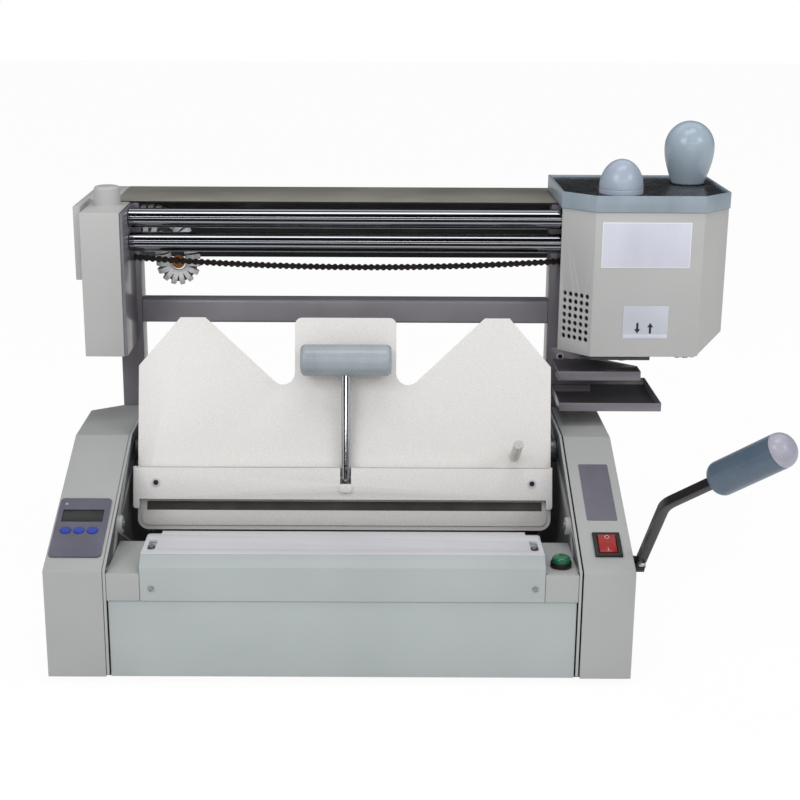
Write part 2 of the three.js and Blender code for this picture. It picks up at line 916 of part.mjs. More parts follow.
function leverGrip() {
  const length = Math.hypot(gripEndX - gripStartX, gripEndReach - gripStartReach);
  const foot = roundOver(leverGripRadius, 0, leverGripRound, 4).map(([radius, height]) => [radius, -height]);
  const profile = [
    [0, 0],
    ...foot.reverse(),
    ...roundOver(leverGripRadius, length, leverGripDome, 6),
    [0, length],
  ];
  const half = armBar / 2 + bore;
  const hole = block(-half, half, -half, half, -overrun, length - leverGripCap);
  const grip = cut(turned(profile, 28), hole)
    .rotateY(Math.PI / 2 - gripSlope)
    .translate(gripStartX, 0, gripStartReach);
  place("lever_grip", onLever(grip), knobBlue);
}

// Pieces on a slope stand in a group whose y runs up the slope and whose z leaves it
function slopeGroup() {
  const group = new THREE.Group();
  group.position.set(0, 0, coverFrontHeight);
  group.rotation.x = slopeAngle;
  machine.add(group);
  return group;
}
const leftSlope = slopeGroup();
const rightSlope = slopeGroup();
const keyboardLeft = -coverOuterX + keyboardInset - seat * 3;

function keyOutline(x, y, gap) {
  const wide = keyWidth / 2 + gap;
  const high = keyHeight / 2 + gap;
  return allRound(x - wide, x + wide, y - high, y + high, high);
}

function controlPanel() {
  const left = keyboardLeft;
  const top = keyboardStart + keyboardLength;
  const shape = allRound(left, left + keyboardWidth, keyboardStart, top, keyboardCorner);
  const lcdLeft = left + lcdInset;
  shape.holes.push(
    outline([
      [lcdLeft - bore, lcdStart - bore],
      [lcdLeft + lcdWidth + bore, lcdStart - bore],
      [lcdLeft + lcdWidth + bore, lcdStart + lcdHeight + bore],
      [lcdLeft - bore, lcdStart + lcdHeight + bore],
    ]),
  );
  for (let index = 0; index < 3; index += 1) {
    shape.holes.push(keyOutline(left + keyFirst + index * keyPitch, keyStart, bore));
  }
  place("control_panel", alongZ(shape, seat, seat + keyboardThickness, 4), panelPurple, leftSlope);
  const lcd = block(lcdLeft, lcdLeft + lcdWidth, lcdStart, lcdStart + lcdHeight, seat, seat + lcdThickness);
  place("lcd_display", lcd, lcdBlue, leftSlope);
  ["key_down", "key_set", "key_up"].forEach((name, index) => {
    const foot = seat + keyTravel + seat;
    const x = left + keyFirst + index * keyPitch;
    const key = alongZ(keyOutline(x, keyStart, 0), foot, foot + keyThickness, 4);
    place(name, key, keyBlue, leftSlope);
  });
}

// Power switch: a bezel with a deep body, and a paddle bent in the middle that rocks in it
function powerSwitch() {
  const wide = rockerWidth / 2;
  const high = rockerLength / 2;
  const frame = block(-wide, wide, -high, high, seat, seat + rockerLip);
  const bodyWide = wide - rockerBorder;
  const bodyHigh = high - rockerBorder;
  const body = block(-bodyWide, bodyWide, -bodyHigh, bodyHigh, -rockerDepth, seat + rockerLip);
  const room = block(
    -bodyWide + panWall / 2,
    bodyWide - panWall / 2,
    -bodyHigh + panWall / 2,
    bodyHigh - panWall / 2,
    -rockerDepth + panWall,
    seat + rockerLip + overrun,
  );
  const bezel = cut(join(frame, body), room).translate(rockerX, rockerStart, 0);
  place("power_switch_bezel", bezel, blackPlastic, rightSlope);

  const paddleHigh = bodyHigh - panWall / 2 - bore * 4;
  const paddleWide = bodyWide - panWall / 2 - bore * 2;
  const bend = Math.tan(THREE.MathUtils.degToRad(rockerTiltDeg)) * paddleHigh;
  const crown = seat + rockerLip;
  const shape = outline([
    [-paddleHigh, crown - paddleDepth],
    [paddleHigh, crown - paddleDepth],
    [paddleHigh, crown + bend * 2 - bore],
    [0, crown],
    [-paddleHigh, crown],
  ]);
  const paddle = alongX(shape, -paddleWide, paddleWide).translate(rockerX, rockerStart, 0);
  place("power_switch_rocker", paddle, rockerRed, rightSlope);
}

// Start button: a black ring with a threaded barrel under the deck, and a green cap that sinks into it
function startButton() {
  const foot = deckHeight + seat;
  const rim = foot + buttonRingHeight;
  const floor = foot + buttonFloor;
  const capBottom = floor + buttonTravel + seat;
  const ring = turned([
    [0, foot - buttonBarrelLength],
    [buttonBarrelRadius, foot - buttonBarrelLength],
    [buttonBarrelRadius, foot],
    [buttonRingRadius, foot],
    [buttonRingRadius, rim],
    [buttonCapRadius + bore, rim],
    [buttonCapRadius + bore, floor],
    [0, floor],
  ]);
  const capTop = rim + buttonCapRise;
  const cap = turned([
    [0, capBottom],
    [buttonCapRadius, capBottom],
    ...roundOver(buttonCapRadius, capTop, buttonCapRise / 2, 3),
    [0, capTop],
  ]);
  place("start_button_body", ring.translate(buttonX, buttonY, 0), blackPlastic);
  place("start_button_cap", cap.translate(buttonX, buttonY, 0), buttonGreen);
}

// Posts: square tubes on the base pan, up to the beam's top plate
const postTop = beamTop - beamWall - seat;
const postBackY = postFrontY + postDepth;

function post(name, leftX) {
  const rightX = leftX + postWidth;
  const whole = block(leftX, rightX, postFrontY, postBackY, panWall + seat, postTop);
  const room = block(
    leftX + postWall,
    rightX - postWall,
    postFrontY + postWall,
    postBackY - postWall,
    panWall + seat - overrun,
    postTop + overrun,
  );
  place(name, cut(whole, room), framePaint);
}

function crossbar() {
  const leftX = leftPostX + postWidth + seat;
  const rightX = rightPostX - seat;
  const top = crossbarBottom + crossbarHeight;
  const back = postFrontY + crossbarDepth;
  const shape = allRound(postFrontY, back, crossbarBottom, top, crossbarRound);
  const room = allRound(
    postFrontY + crossbarWall,
    back - crossbarWall,
    crossbarBottom + crossbarWall,
    top - crossbarWall,
    crossbarRound - crossbarWall / 2,
  );
  shape.holes.push(room);
  place("crossbar", alongX(shape, leftX, rightX, 3), framePaint);
}

// Beam: a folded sheet with a top plate and a back wall, and the right rod plate welded under its end
function beam() {
  const shape = outline([
    [postFrontY, beamTop],
    [postFrontY, beamTop - beamWall],
    [beamBackY - beamWall, beamTop - beamWall],
    [beamBackY - beamWall, beamBottom],
    [beamBackY, beamBottom],
    [beamBackY, beamTop],
  ].reverse());
  const rodPlate = block(
    rightRodPlateX,
    beamRightX,
    houseFrontY + houseChamfer + seat * 2,
    beamBackY - beamWall / 2,
    rightRodPlateBottom,
    beamTop - beamWall / 2,
  );
  place("beam", join(alongX(shape, beamLeftX, beamRightX), rodPlate), framePaint);
}

// Beam end cover: a box over the left post's outer side, with a slot open between it and the end box
function beamEndCover() {
  const innerX = leftPostX - seat;
  const noseRightX = boxLeftX - endCoverSlot;
  const slotBackY = postFrontY + endCoverSlotDepth;
  const plan = (inset) =>
    outline([
      [endCoverLeftX + inset, endCoverFrontY + inset],
      [noseRightX - inset, endCoverFrontY + inset],
      [noseRightX - inset, slotBackY + inset],
      [innerX - seat - inset, slotBackY + inset],
      [innerX - seat - inset, beamBackY - inset],
      [endCoverLeftX + inset, beamBackY - inset],
    ]);
  const whole = alongZ(plan(0), endCoverBottom, beamTop);
  const room = alongZ(plan(endCoverWall), endCoverBottom - overrun, beamTop - endCoverWall);
  place("beam_end_cover", cut(whole, room), lightGrey);
}

// Left end box: open towards its frame plate, with a round cap on top
function leftEndBox() {
  const back = postFrontY - seat;
  const shape = block(boxLeftX, boxRightX - seat, boxFrontY, back, boxBottom, boxTop);
  const room = block(
    boxLeftX + boxWall,
    boxRightX + overrun,
    boxFrontY + boxWall,
    back - boxWall,
    boxBottom + boxWall,
    boxTop - boxWall,
  );
  const cap = turned([
    [0, 0],
    [capRadius, 0],
    ...roundOver(capRadius, capHeight + boxWall / 2, capRound, 3),
    [0, capHeight + boxWall / 2],
  ]).translate(capX, capY, boxTop - boxWall / 2);
  place("left_end_box", join(cut(shape, room), cap), lightGrey);
}

// Left rod plate and the two rods
const leftRodEnd = boxRightX + rodPlateThickness + seat;
const rightRodEnd = rightRodPlateX - seat;

function leftRodPlate() {
  const plate = block(
    boxRightX,
    boxRightX + rodPlateThickness,
    boxFrontY + seat,
    postFrontY - seat,
    boxBottom + seat,
    beamTop - beamWall - seat,
  );
  place("left_rod_plate", plate, framePaint);
}

function rods() {
  place("upper_rod", discX(rodY, upperRodZ, rodRadius, leftRodEnd, rightRodEnd, 32), chrome);
  place("lower_rod", discX(rodY, upperRodZ - rodSpacing, rodRadius, leftRodEnd, rightRodEnd, 32), chrome);
}

// Drive chain: it hangs from the left plate to where the sprocket holds it, then runs level to the right
function chainHeight(x) {
  const along = (x - leftRodEnd) / chainSpan;
  return along < 1 ? chainEndZ - chainSag * 4 * along * (1 - along) : chainEndZ;
}

function driveChain() {
  const links = Math.floor((rightRodEnd - leftRodEnd) / chainPitch);
  const step = (rightRodEnd - leftRodEnd) / links;
  const upper = [];
  const lower = [];
  for (let half = 0; half <= links * 2; half += 1) {
    const x = leftRodEnd + (half * step) / 2;
    const reach = half % 2 ? chainHigh : chainLow;
    upper.push([x, chainHeight(x) + reach]);
    lower.push([x, chainHeight(x) - reach]);
  }
  const shape = outline([...lower, ...upper.reverse()]);
  place("drive_chain", alongY(shape, chainY - chainWidth / 2, chainY + chainWidth / 2), chainSteel);
}

// Wiring harness: a loop out of the left post and back into it, wrapped in a spiral band
function cablePath() {
  const postX = leftPostX + postWidth + seat;
  const at = (x, z) => new THREE.Vector3(x, cableY, z);
  const rightX = cableLoopX + cableLoopRadius;
  const leftX = cableLoopX - cableLoopRadius;
  const runX = postX + cableEndRun;
  const upper = (rightX - runX) * cableBendShare;
  const lower = (leftX - runX) * cableBendShare;
  const path = new THREE.CurvePath();
  path.add(new THREE.LineCurve3(at(postX, cableTopZ), at(runX, cableTopZ)));
  path.add(
    new THREE.CubicBezierCurve3(
      at(runX, cableTopZ),
      at(runX + upper, cableTopZ),
      at(rightX, cableLoopZ + upper),
      at(rightX, cableLoopZ),
    ),
  );
  const bottom = new THREE.Curve();
  bottom.getPoint = (t) =>
    at(
      cableLoopX + cableLoopRadius * Math.cos(Math.PI * t),
      cableLoopZ - cableLoopRadius * Math.sin(Math.PI * t),
    );
  path.add(bottom);
  path.add(
    new THREE.CubicBezierCurve3(
      at(leftX, cableLoopZ),
      at(leftX, cableLowZ - lower),
      at(runX + lower, cableLowZ),
      at(runX, cableLowZ),
    ),
  );
  path.add(new THREE.LineCurve3(at(runX, cableLowZ), at(postX, cableLowZ)));
  return path;
}

// Least distance between two points of a tube's middle line that lie over half a turn apart, less its width
function leastGap(points, radius, apart) {
  let least = Infinity;
  points.forEach((a, i) => {
    for (let j = i + apart; j < points.length; j += 1) least = Math.min(least, a.distanceTo(points[j]));
  });
  return least - radius * 2;
}

function harness() {
  const path = cablePath();
  place("cable_core", tube(path, cableRadius, 30, 10), blackPlastic);
  const length = path.getLength();
  const run = bandRadius * 2;
  const startShare = run / length;
  const across = new THREE.Vector3(0, 1, 0);
  const bandPoint = (along, turn) => {
    const tangent = path.getTangentAt(along);
    const out = new THREE.Vector3().crossVectors(tangent, across);
    return path
      .getPointAt(along)
      .addScaledVector(across, wrapRadius * Math.cos(turn))
      .addScaledVector(out, wrapRadius * Math.sin(turn));
  };
  const stepsPerTurn = 8;
  const steps = wrapTurns * stepsPerTurn;
  const points = [bandPoint(0, 0)];
  for (let step = 0; step <= steps; step += 1) {
    const along = startShare + (1 - startShare * 2) * (step / steps);
    points.push(bandPoint(along, (Math.PI * 2 * step) / stepsPerTurn));
  }
  points.push(bandPoint(1, Math.PI * 2 * wrapTurns));
  console.log("cable_wrap: least gap to itself", leastGap(points, bandRadius, 5).toFixed(2), "mm");
  const band = new THREE.CatmullRomCurve3(points);
  place("cable_wrap", tube(band, bandRadius, steps + 2, 5), wrapWhite);
}

// Tray bracket on the right post, with a shelf folded out of it
function trayBracket() {
  const back = postFrontY - seat;
  const plate = block(bracketLeftX, bracketRightX, back - bracketWall, back, bracketBottom, bracketTop);
  const shelf = outline([
    [trayLeftX, shelfFrontY],
    [shelfRightX, shelfFrontY],
    [shelfRightX, back - shelfCutY],
    [shelfRightX - shelfCutX, back],
    [trayLeftX, back],
  ]);
  const top = alongZ(shelf, shelfTop - trayWall, shelfTop);
  const flange = block(
    trayLeftX,
    shelfRightX,
    shelfFrontY,
    shelfFrontY + trayWall,
    shelfTop - shelfFlange,
    shelfTop - trayWall / 2,
  );
  place("tray_bracket", join(plate, top, flange), framePaint);
}

// Drip tray: a shallow dish, stepped round the post and the bracket
function dripTray() {
  const back = postFrontY - seat - bracketWall - seat;
  const plan = (inset) =>
    outline([
      [trayLeftX + inset, trayFrontY + inset],
      [trayRightX - inset, trayFrontY + inset],
      [trayRightX - inset, trayBackY - inset],
      [bracketRightX + seat + inset, trayBackY - inset],
      [bracketRightX + seat + inset, back - inset],
      [trayLeftX + inset, back - inset],
    ]);
  const whole = alongZ(plan(0), trayTop - trayDepth, trayTop);
  const room = alongZ(plan(trayWall), trayTop - trayDepth + trayWall, trayTop + overrun);
  place("drip_tray", cut(whole, room), framePaint);
}

// Book clamp: its group's origin lies on the hinge axis, y points back and z up the plate
const clamp = new THREE.Group();
clamp.position.set(0, clampY, clampZ);
clamp.rotation.x = -THREE.MathUtils.degToRad(clampLeanDeg);
machine.add(clamp);

// A solid between two reaches in front of the axis
function inFront(shape, nearReach, farReach, curveSegments) {
  return alongY(shape, -farReach, -nearReach, curveSegments);
}

function frontBlock(x0, x1, nearReach, farReach, z0, z1) {
  return block(x0, x1, -farReach, -nearReach, z0, z1);
}

// Where a notch's slope touches its round foot: an angle at the foot's middle, from a horn's corner that
// stands so far across and up from there
function notchTangent(across, up) {
  const spread = Math.asin(notchRadius / Math.hypot(across, up));
  return Math.atan2(-up, -across) + spread + Math.PI / 2;
}

// The tall plate with two notches between its horns and the middle tab, and round lower corners
function bookPlate() {
  const shape = new THREE.Shape();
  const footZ = plateTop - notchDepth + notchRadius;
  const rightHornX = plateRightX - shoulderRun - hornWidth;
  const leftHornX = plateLeftX + shoulderRun + hornWidth;
  const rightFootX = tabRightX + notchRadius;
  const leftFootX = tabLeftX - notchRadius;
  const slopeEnd = notchTangent(rightHornX - rightFootX, plateTop - footZ);
  const leftSlopeEnd = notchTangent(leftFootX - leftHornX, plateTop - footZ);
  shape.moveTo(plateLeftX + plateCorner, plateBottom);
  shape.lineTo(plateRightX - plateCorner, plateBottom);
  shape.absarc(plateRightX - plateCorner, plateBottom + plateCorner, plateCorner, -Math.PI / 2, 0);
  shape.lineTo(plateRightX, shoulderRise);
  shape.lineTo(plateRightX - shoulderRun, plateTop);
  shape.lineTo(rightHornX, plateTop);
  shape.absarc(rightFootX, footZ, notchRadius, slopeEnd, -Math.PI, true);
  shape.lineTo(tabRightX, plateTop - tabCorner);
  shape.absarc(tabRightX - tabCorner, plateTop - tabCorner, tabCorner, 0, Math.PI / 2);
  shape.lineTo(tabLeftX + tabCorner, plateTop);
  shape.absarc(tabLeftX + tabCorner, plateTop - tabCorner, tabCorner, Math.PI / 2, Math.PI);
  shape.absarc(leftFootX, footZ, notchRadius, 0, -Math.PI - leftSlopeEnd, true);
  shape.lineTo(leftHornX, plateTop);
  shape.lineTo(plateLeftX + shoulderRun, plateTop);
  shape.lineTo(plateLeftX, shoulderRise);
  shape.lineTo(plateLeftX, plateBottom + plateCorner);
  shape.absarc(plateLeftX + plateCorner, plateBottom + plateCorner, plateCorner, Math.PI, Math.PI * 1.5);
  const sheet = inFront(shape, plateFace - plateThickness, plateFace, 4);
  const pad = allRound(
    plateLeftX + padInset,
    plateRightX - padInset,
    plateBottom + padInset,
    plateBottom + padInset + padHeight,
    plateCorner - padInset,
  );
  const padReach = plateFace + padThickness;
  const padSheet = inFront(pad, plateFace - plateThickness / 2, padReach, 3);
  place("book_plate", join(sheet, padSheet), plateWhite, clamp);
}

// Side arms: a plate from the book plate back to the axis, a collar beside the cheek and a pivot pin
function clampArm(name, plateX, cheekX, side) {
  const reach = plateFace - plateThickness - seat;
  const shape = new THREE.Shape();
  shape.moveTo(-reach, armLow);
  shape.lineTo(0, -armNose);
  shape.absarc(0, 0, armNose, -Math.PI / 2, Math.PI / 2);
  shape.lineTo(-reach, armHigh);
  const inner = plateX - side * armWall;
  const plate = alongX(shape, Math.min(inner, plateX), Math.max(inner, plateX), 6);
  const collarEnd = cheekX - side * collarGap;
  const tail = cheekX + side * (cheekWall + pivotTail);
  const collar = discX(0, 0, collarRadius, Math.min(plateX, collarEnd), Math.max(plateX, collarEnd), 24);
  const pin = discX(0, 0, pivotRadius, Math.min(plateX, tail), Math.max(plateX, tail), 20);
  place(name, join(plate, collar, pin), aluminium, clamp);
}

// Jaw bar: a channel in front of the plate, with deeper ends, a slot for the handle and a pad under it
function clampJaw() {
  const back = plateFace + seat;
  const inner = jawFace - jawWall;
  const whole = frontBlock(jawLeftX, jawRightX, back, jawFace, jawBottom, jawTop);
  const room = frontBlock(
    jawLeftX + jawEndWidth,
    jawRightX - jawEndWidth,
    back - overrun,
    inner,
    jawBottom - overrun,
    jawTop - jawWall,
  );
  const ends = [
    roundedShape(jawLeftX, jawLeftX + jawEndWidth, jawBottom - jawEndDrop, jawTop, [jawCorner, 0, 0, 0]),
    roundedShape(jawRightX - jawEndWidth, jawRightX, jawBottom - jawEndDrop, jawTop, [0, jawCorner, 0, 0]),
  ].map((shape) => inFront(shape, back, jawFace, 3));
  const slotLeft = stemX - stemSlotWidth / 2;
  const slotRight = stemX + stemSlotWidth / 2;
  const slot = frontBlock(
    slotLeft,
    slotRight,
    back - overrun,
    jawFace + overrun,
    jawTop - stemSlotDepth,
    jawTop + overrun,
  );
  const lugs = [slotLeft - jawWall, slotRight].map((x) =>
    frontBlock(x, x + jawWall, back, inner + jawWall / 2, stemFoot - stemRadius, jawTop - jawWall / 2),
  );
  const pinSpan = jawWall + overrun;
  const pinHole = discX(
    -stemFootReach,
    stemFoot,
    stemPinRadius + bore,
    slotLeft - pinSpan,
    slotRight + pinSpan,
    12,
  );
  const bumpTop = jawTop - stemSlotDepth;
  const bump = allRound(
    stemX - bumpWidth / 2,
    stemX + bumpWidth / 2,
    bumpTop - bumpHeight,
    bumpTop,
    bumpHeight / 3,
  );
  const jaw = join(cut(whole, room), ...ends, ...lugs, inFront(bump, inner, jawFace + bumpReach, 4));
  place("clamp_jaw", cut(jaw, slot, pinHole), plateWhite, clamp);
}

// Tee handle: a chrome stem with a cross pin in its foot, and a round grip across its top
const stemTilt = Math.atan2(stemTopReach - stemFootReach, stemTop - stemFoot);

function teeHandle() {
  const length = Math.hypot(stemTopReach - stemFootReach, stemTop - stemFoot);
  const stem = turned([
    [0, -stemRadius],
    [stemRadius * Math.SQRT1_2, -stemRadius * Math.SQRT1_2],
    [stemRadius, 0],
    [stemRadius, length - gripRadius / 2],
    [0, length - gripRadius / 2],
  ], 16);
  const pinEnd = stemSlotWidth / 2 + jawWall;
  const pin = discX(0, 0, stemPinRadius, -pinEnd, pinEnd, 12);
  const handle = join(stem, pin).rotateX(stemTilt).translate(stemX, -stemFootReach, stemFoot);
  place("tee_stem", handle, chrome, clamp);

  const half = gripLength / 2;
  const end = roundOver(gripRadius, half, gripRound, 3);
  const mirrored = end.map(([radius, height]) => [radius, -height]).reverse();
  const barrel = turned([[0, -half], ...mirrored, ...end, [0, half]], 24).rotateY(Math.PI / 2);
  const hole = discZ(0, 0, stemRadius + bore, -gripRadius - overrun, -gripRadius / 2 + bore, 16);
  const grip = cut(barrel, hole).rotateX(stemTilt).translate(stemX, -stemTopReach, stemTop);
  place("tee_grip", grip, knobBlue, clamp);
}

function stopPin() {
  const profile = [
    [0, 0],
    [pinRadius, 0],
    ...roundOver(pinRadius, pinLength, pinRadius / 5, 2),
    [0, pinLength],
  ];
  const foot = seat + pinRadius * Math.sin(THREE.MathUtils.degToRad(pinTiltDeg));
  const pin = turned(profile, 20)
    .rotateX(Math.PI / 2 - THREE.MathUtils.degToRad(pinTiltDeg))
    .translate(pinX, -plateFace - foot, pinZ);
  place("stop_pin", pin, chrome, clamp);
}

const carriage = new THREE.Group();
machine.add(carriage);

// Carriage plan: chamfered at both front corners, grown or shrunk by an inset
const chamferInsetShare = Math.tan(Math.PI / 8);

function carriagePlan(inset, backY) {
  const corner = inset * chamferInsetShare;
  return [
    [houseLeftX + inset, backY],
    [houseLeftX + inset, houseFrontY + houseChamfer + corner],
    [houseLeftX + houseChamfer + corner, houseFrontY + inset],
    [houseRightX - houseChamfer - corner, houseFrontY + inset],
    [houseRightX - inset, houseFrontY + houseChamfer + corner],
    [houseRightX - inset, backY],
  ];
}

// Housing: a folded sheet with a flange behind its vents, open at the left, the back, the top and below
function carriageHousing() {
  const skin = outline([
    ...carriagePlan(0, houseBackY),
    ...carriagePlan(houseWall, houseBackY).reverse(),
  ]);
  const leftSide = block(
    houseLeftX - overrun,
    houseLeftX + houseWall + overrun,
    houseFrontY + houseChamfer + seat,
    houseBackY + overrun,
    houseBottom - overrun,
    houseTop + overrun,
  );
  const corner = alongY(
    outline([
      [houseRightX - houseCutX, houseBottom - overrun],
      [houseRightX - houseCutX, houseBottom],
      [houseRightX + overrun, houseBottom + houseCutZ + overrun * houseCutZ / houseCutX],
      [houseRightX + overrun, houseBottom - overrun],
    ]),
    houseFrontY - overrun,
    houseBackY + overrun,
  );
  const rightSide = block(
    houseRightX - houseWall - overrun,
    houseRightX + overrun,
    houseFrontY + houseChamfer + seat,
    houseBackY + overrun,
    sideOpenZ,
    houseTop + overrun,
  );
  const tunnelRoom = chainHigh + overrun;
  const chainGap = block(
    houseRightX - houseWall - overrun,
    houseRightX + overrun,
    chainY - chainWidth / 2 - overrun / 2,
    houseBackY + overrun,
    chainEndZ - chainSag - tunnelRoom,
    chainEndZ + tunnelRoom,
  );
  const vents = [];
  const middle = houseChamfer / 2;
  for (let column = 0; column < ventColumns; column += 1) {
    for (let row = 0; row < ventRows; row += 1) {
      const along = (column - (ventColumns - 1) / 2) * ventPitchX;
      const hole = discY(along, 0, ventRadius, -houseWall - overrun, houseWall + overrun, 8)
        .rotateZ(-Math.PI / 4)
        .translate(houseLeftX + middle, houseFrontY + middle, ventLow + row * ventPitchZ);
      vents.push(hole);
    }
  }
  const flange = block(
    houseLeftX + houseWall / 2,
    potLeftX - seat,
    houseFrontY + houseChamfer - houseWall,
    houseFrontY + houseChamfer,
    houseBottom,
    sideOpenZ,
  );
  const shell = join(alongZ(skin, houseBottom, houseTop), flange);
  const openings = [leftSide, rightSide, corner, chainGap, ...vents];
  place("carriage_housing", cut(shell, ...openings), lightGrey, carriage);
}

// Lid: a moulded cover with a rim, its top sunk inside it, that reaches back over the beam
function carriageLid() {
  const foot = houseTop + seat;
  const top = foot + lidHeight;
  const deckTop = top - lidSink;
  const whole = alongZ(outline(carriagePlan(-lidOver, lidBackY + lidOver)), foot, top);
  const above = alongZ(outline(carriagePlan(lidWall - lidOver, lidBackY - lidWall)), deckTop, top + overrun);
  const below = alongZ(
    outline(carriagePlan(lidWall - lidOver, lidBackY - lidWall)),
    foot - overrun,
    deckTop - lidWall,
  );
  const filler = discZ(fillerX, fillerY, fillerPlugRadius + bore, foot - overrun, top + overrun);
  place("carriage_lid", cut(whole, above, below, filler), lidBlue, carriage);
}

const lidDeckZ = houseTop + seat + lidHeight - lidSink;

function fillerCap() {
  const profile = [
    [0, -fillerPlugDepth],
    [fillerPlugRadius, -fillerPlugDepth],
    [fillerPlugRadius, seat],
    [fillerRadius, seat],
    ...roundOver(fillerRadius, fillerHeight, fillerRadius, 6),
  ];
  place("filler_cap", turned(profile, 24).translate(fillerX, fillerY, lidDeckZ), knobBlue, carriage);
}

// Push knob: egg-shaped, widest above its middle, with a flat foot
function pushKnob() {
  const widest = eggHeight * eggWidestShare;
  const profile = [
    [0, seat],
    [eggBaseRadius, seat],
  ];
  const lowerSteps = 6;
  for (let step = 1; step <= lowerSteps; step += 1) {
    const rise = step / lowerSteps;
    const radius = eggBaseRadius + (eggRadius - eggBaseRadius) * Math.sin((Math.PI / 2) * rise);
    profile.push([radius, seat + (widest - seat) * rise]);
  }
  const upperSteps = 6;
  for (let step = 1; step <= upperSteps; step += 1) {
    const angle = (Math.PI / 2) * (step / upperSteps);
    profile.push([eggRadius * Math.cos(angle), widest + (eggHeight - widest) * Math.sin(angle)]);
  }
  profile[profile.length - 1][0] = 0;
  place("push_knob", turned(profile, 24).translate(eggX, eggY, lidDeckZ), knobBlue, carriage);
}

// Slide frame: a casting that runs on both rods, with a floor over the glue pot and the motor
function slideFrame() {
  const floorTop = frameBottom + frameFloor;
  const floor = block(frameLeftX, frameRightX, frameFrontY, frameBackY, frameBottom, floorTop);
  const leftEnd = block(frameLeftX, frameLeftX + frameEnd, frameFrontY, frameBackY, frameBottom, frameTop);
  const rightBlock = block(
    frameRightX - frameBlock,
    frameRightX,
    frameFrontY,
    frameBackY,
    frameBottom,
    frameTop,
  );
  const nose = block(
    frameRightX - frameBlock,
    houseRightX - houseChamfer - seat * 5,
    houseFrontY + houseWall + seat,
    frameFrontY + overrun,
    frameBottom,
    frameTop,
  );
  const back = block(frameLeftX, frameRightX, frameBackY - frameBackWall, frameBackY, frameBottom, frameTop);
  const bores = [upperRodZ, upperRodZ - rodSpacing].map((z) =>
    discX(rodY, z, rodRadius + bore, frameLeftX - overrun, frameRightX + overrun, 32),
  );
  const shaftHole = discY(
    sprocketX,
    sprocketZ,
    rollerShaftRadius + bore,
    frameBackY - frameBackWall - overrun,
    frameBackY + overrun,
    16,
  );
  const funnel = discZ(fillerX, fillerY, fillerPlugRadius, frameBottom - overrun, floorTop + overrun, 20);
  const casting = join(floor, leftEnd, rightBlock, nose, back);
  place("slide_frame", cut(casting, ...bores, shaftHole, funnel), aluminium, carriage);
}

// Glue pot: an open box under the frame, with a slot below for the roller and bores for its shaft
function gluePot() {
  const plan = (inset) =>
    outline([
      [potLeftX + inset, potFrontY + potCorner + inset * chamferInsetShare],
      [potLeftX + potCorner + inset * chamferInsetShare, potFrontY + inset],
      [potRightX - inset, potFrontY + inset],
      [potRightX - inset, potBackY - inset],
      [potLeftX + inset, potBackY - inset],
    ]);
  const whole = alongZ(plan(0), potBottom, potTop);
  const room = alongZ(plan(potWall), potBottom + potWall, potTop + overrun);
  const slotHalf = rollerRadius * rollerSlotShare;
  const slot = block(
    rollerX - slotHalf,
    rollerX + slotHalf,
    potFrontY + potWall,
    potBackY - potWall,
    potBottom - overrun,
    potBottom + potWall + overrun,
  );
  const shaftHole = discY(
    rollerX,
    rollerZ,
    rollerShaftRadius + bore,
    potBackY - potWall - overrun,
    potBackY + overrun,
    16,
  );
  const frontHole = discY(
    rollerX,
    rollerZ,
    rollerShaftRadius + bore,
    potFrontY - overrun,
    potFrontY + potWall + overrun,
    16,
  );
  place("glue_pot", cut(whole, room, slot, shaftHole, frontHole), blackPlastic, carriage);
}

// Glue roller, drive sprocket and the belt between their pulleys
const pulleyFrontY = beltY - pulleyWidth / 2;
const pulleyBackY = beltY + pulleyWidth / 2;

function glueRoller() {
  const drum = discY(
    rollerX,
    rollerZ,
    rollerRadius,
    potFrontY + potWall + seat * 2,
    potBackY - potWall - seat * 2,
    28,
  );
  const shaft = discY(rollerX, rollerZ, rollerShaftRadius, potFrontY + seat, pulleyBackY, 16);
  const pulley = discY(rollerX, rollerZ, pulleyRadius, pulleyFrontY, pulleyBackY, 20);
  place("glue_roller", join(drum, shaft, pulley), steel, carriage);
}

function driveSprocket() {
  const shape = new THREE.Shape();
  const points = [];
  for (let tooth = 0; tooth < sprocketTeeth; tooth += 1) {
    const pitch = (Math.PI * 2) / sprocketTeeth;
    const root = sprocketRadius - sprocketTooth;
    const radii = [root, root, sprocketRadius, sprocketRadius];
    radii.forEach((radius, index) => {
      const angle = pitch * (tooth + sprocketToothShares[index]);
      points.push(new THREE.Vector2(radius * Math.cos(angle), radius * Math.sin(angle)));
    });
  }
  shape.setFromPoints(points);
  const wheel = alongY(shape, chainY - sprocketWidth / 2, chainY + sprocketWidth / 2)
    .translate(sprocketX, 0, sprocketZ);
  const shaftFront = frameBackY - frameBackWall + seat;
  const shaft = discY(sprocketX, sprocketZ, rollerShaftRadius, shaftFront, chainY + sprocketWidth / 2, 16);
  const pulley = discY(sprocketX, sprocketZ, pulleyRadius, pulleyFrontY, pulleyBackY, 20);
  place("drive_sprocket", join(wheel, shaft, pulley), steel, carriage);
}

function rollerBelt() {
  const rise = Math.atan2(sprocketZ - rollerZ, sprocketX - rollerX);
  const span = Math.hypot(sprocketZ - rollerZ, sprocketX - rollerX);
  const loop = (radius) => allRound(-radius, span + radius, -radius, radius, radius);
  const shape = loop(pulleyRadius + seat + beltThickness);
  shape.holes.push(loop(pulleyRadius + seat));
  const width = pulleyWidth - seat;
  const belt = alongY(shape, -width / 2, width / 2, 6).rotateY(-rise).translate(rollerX, beltY, rollerZ);
  place("roller_belt", belt, rubber, carriage);
}

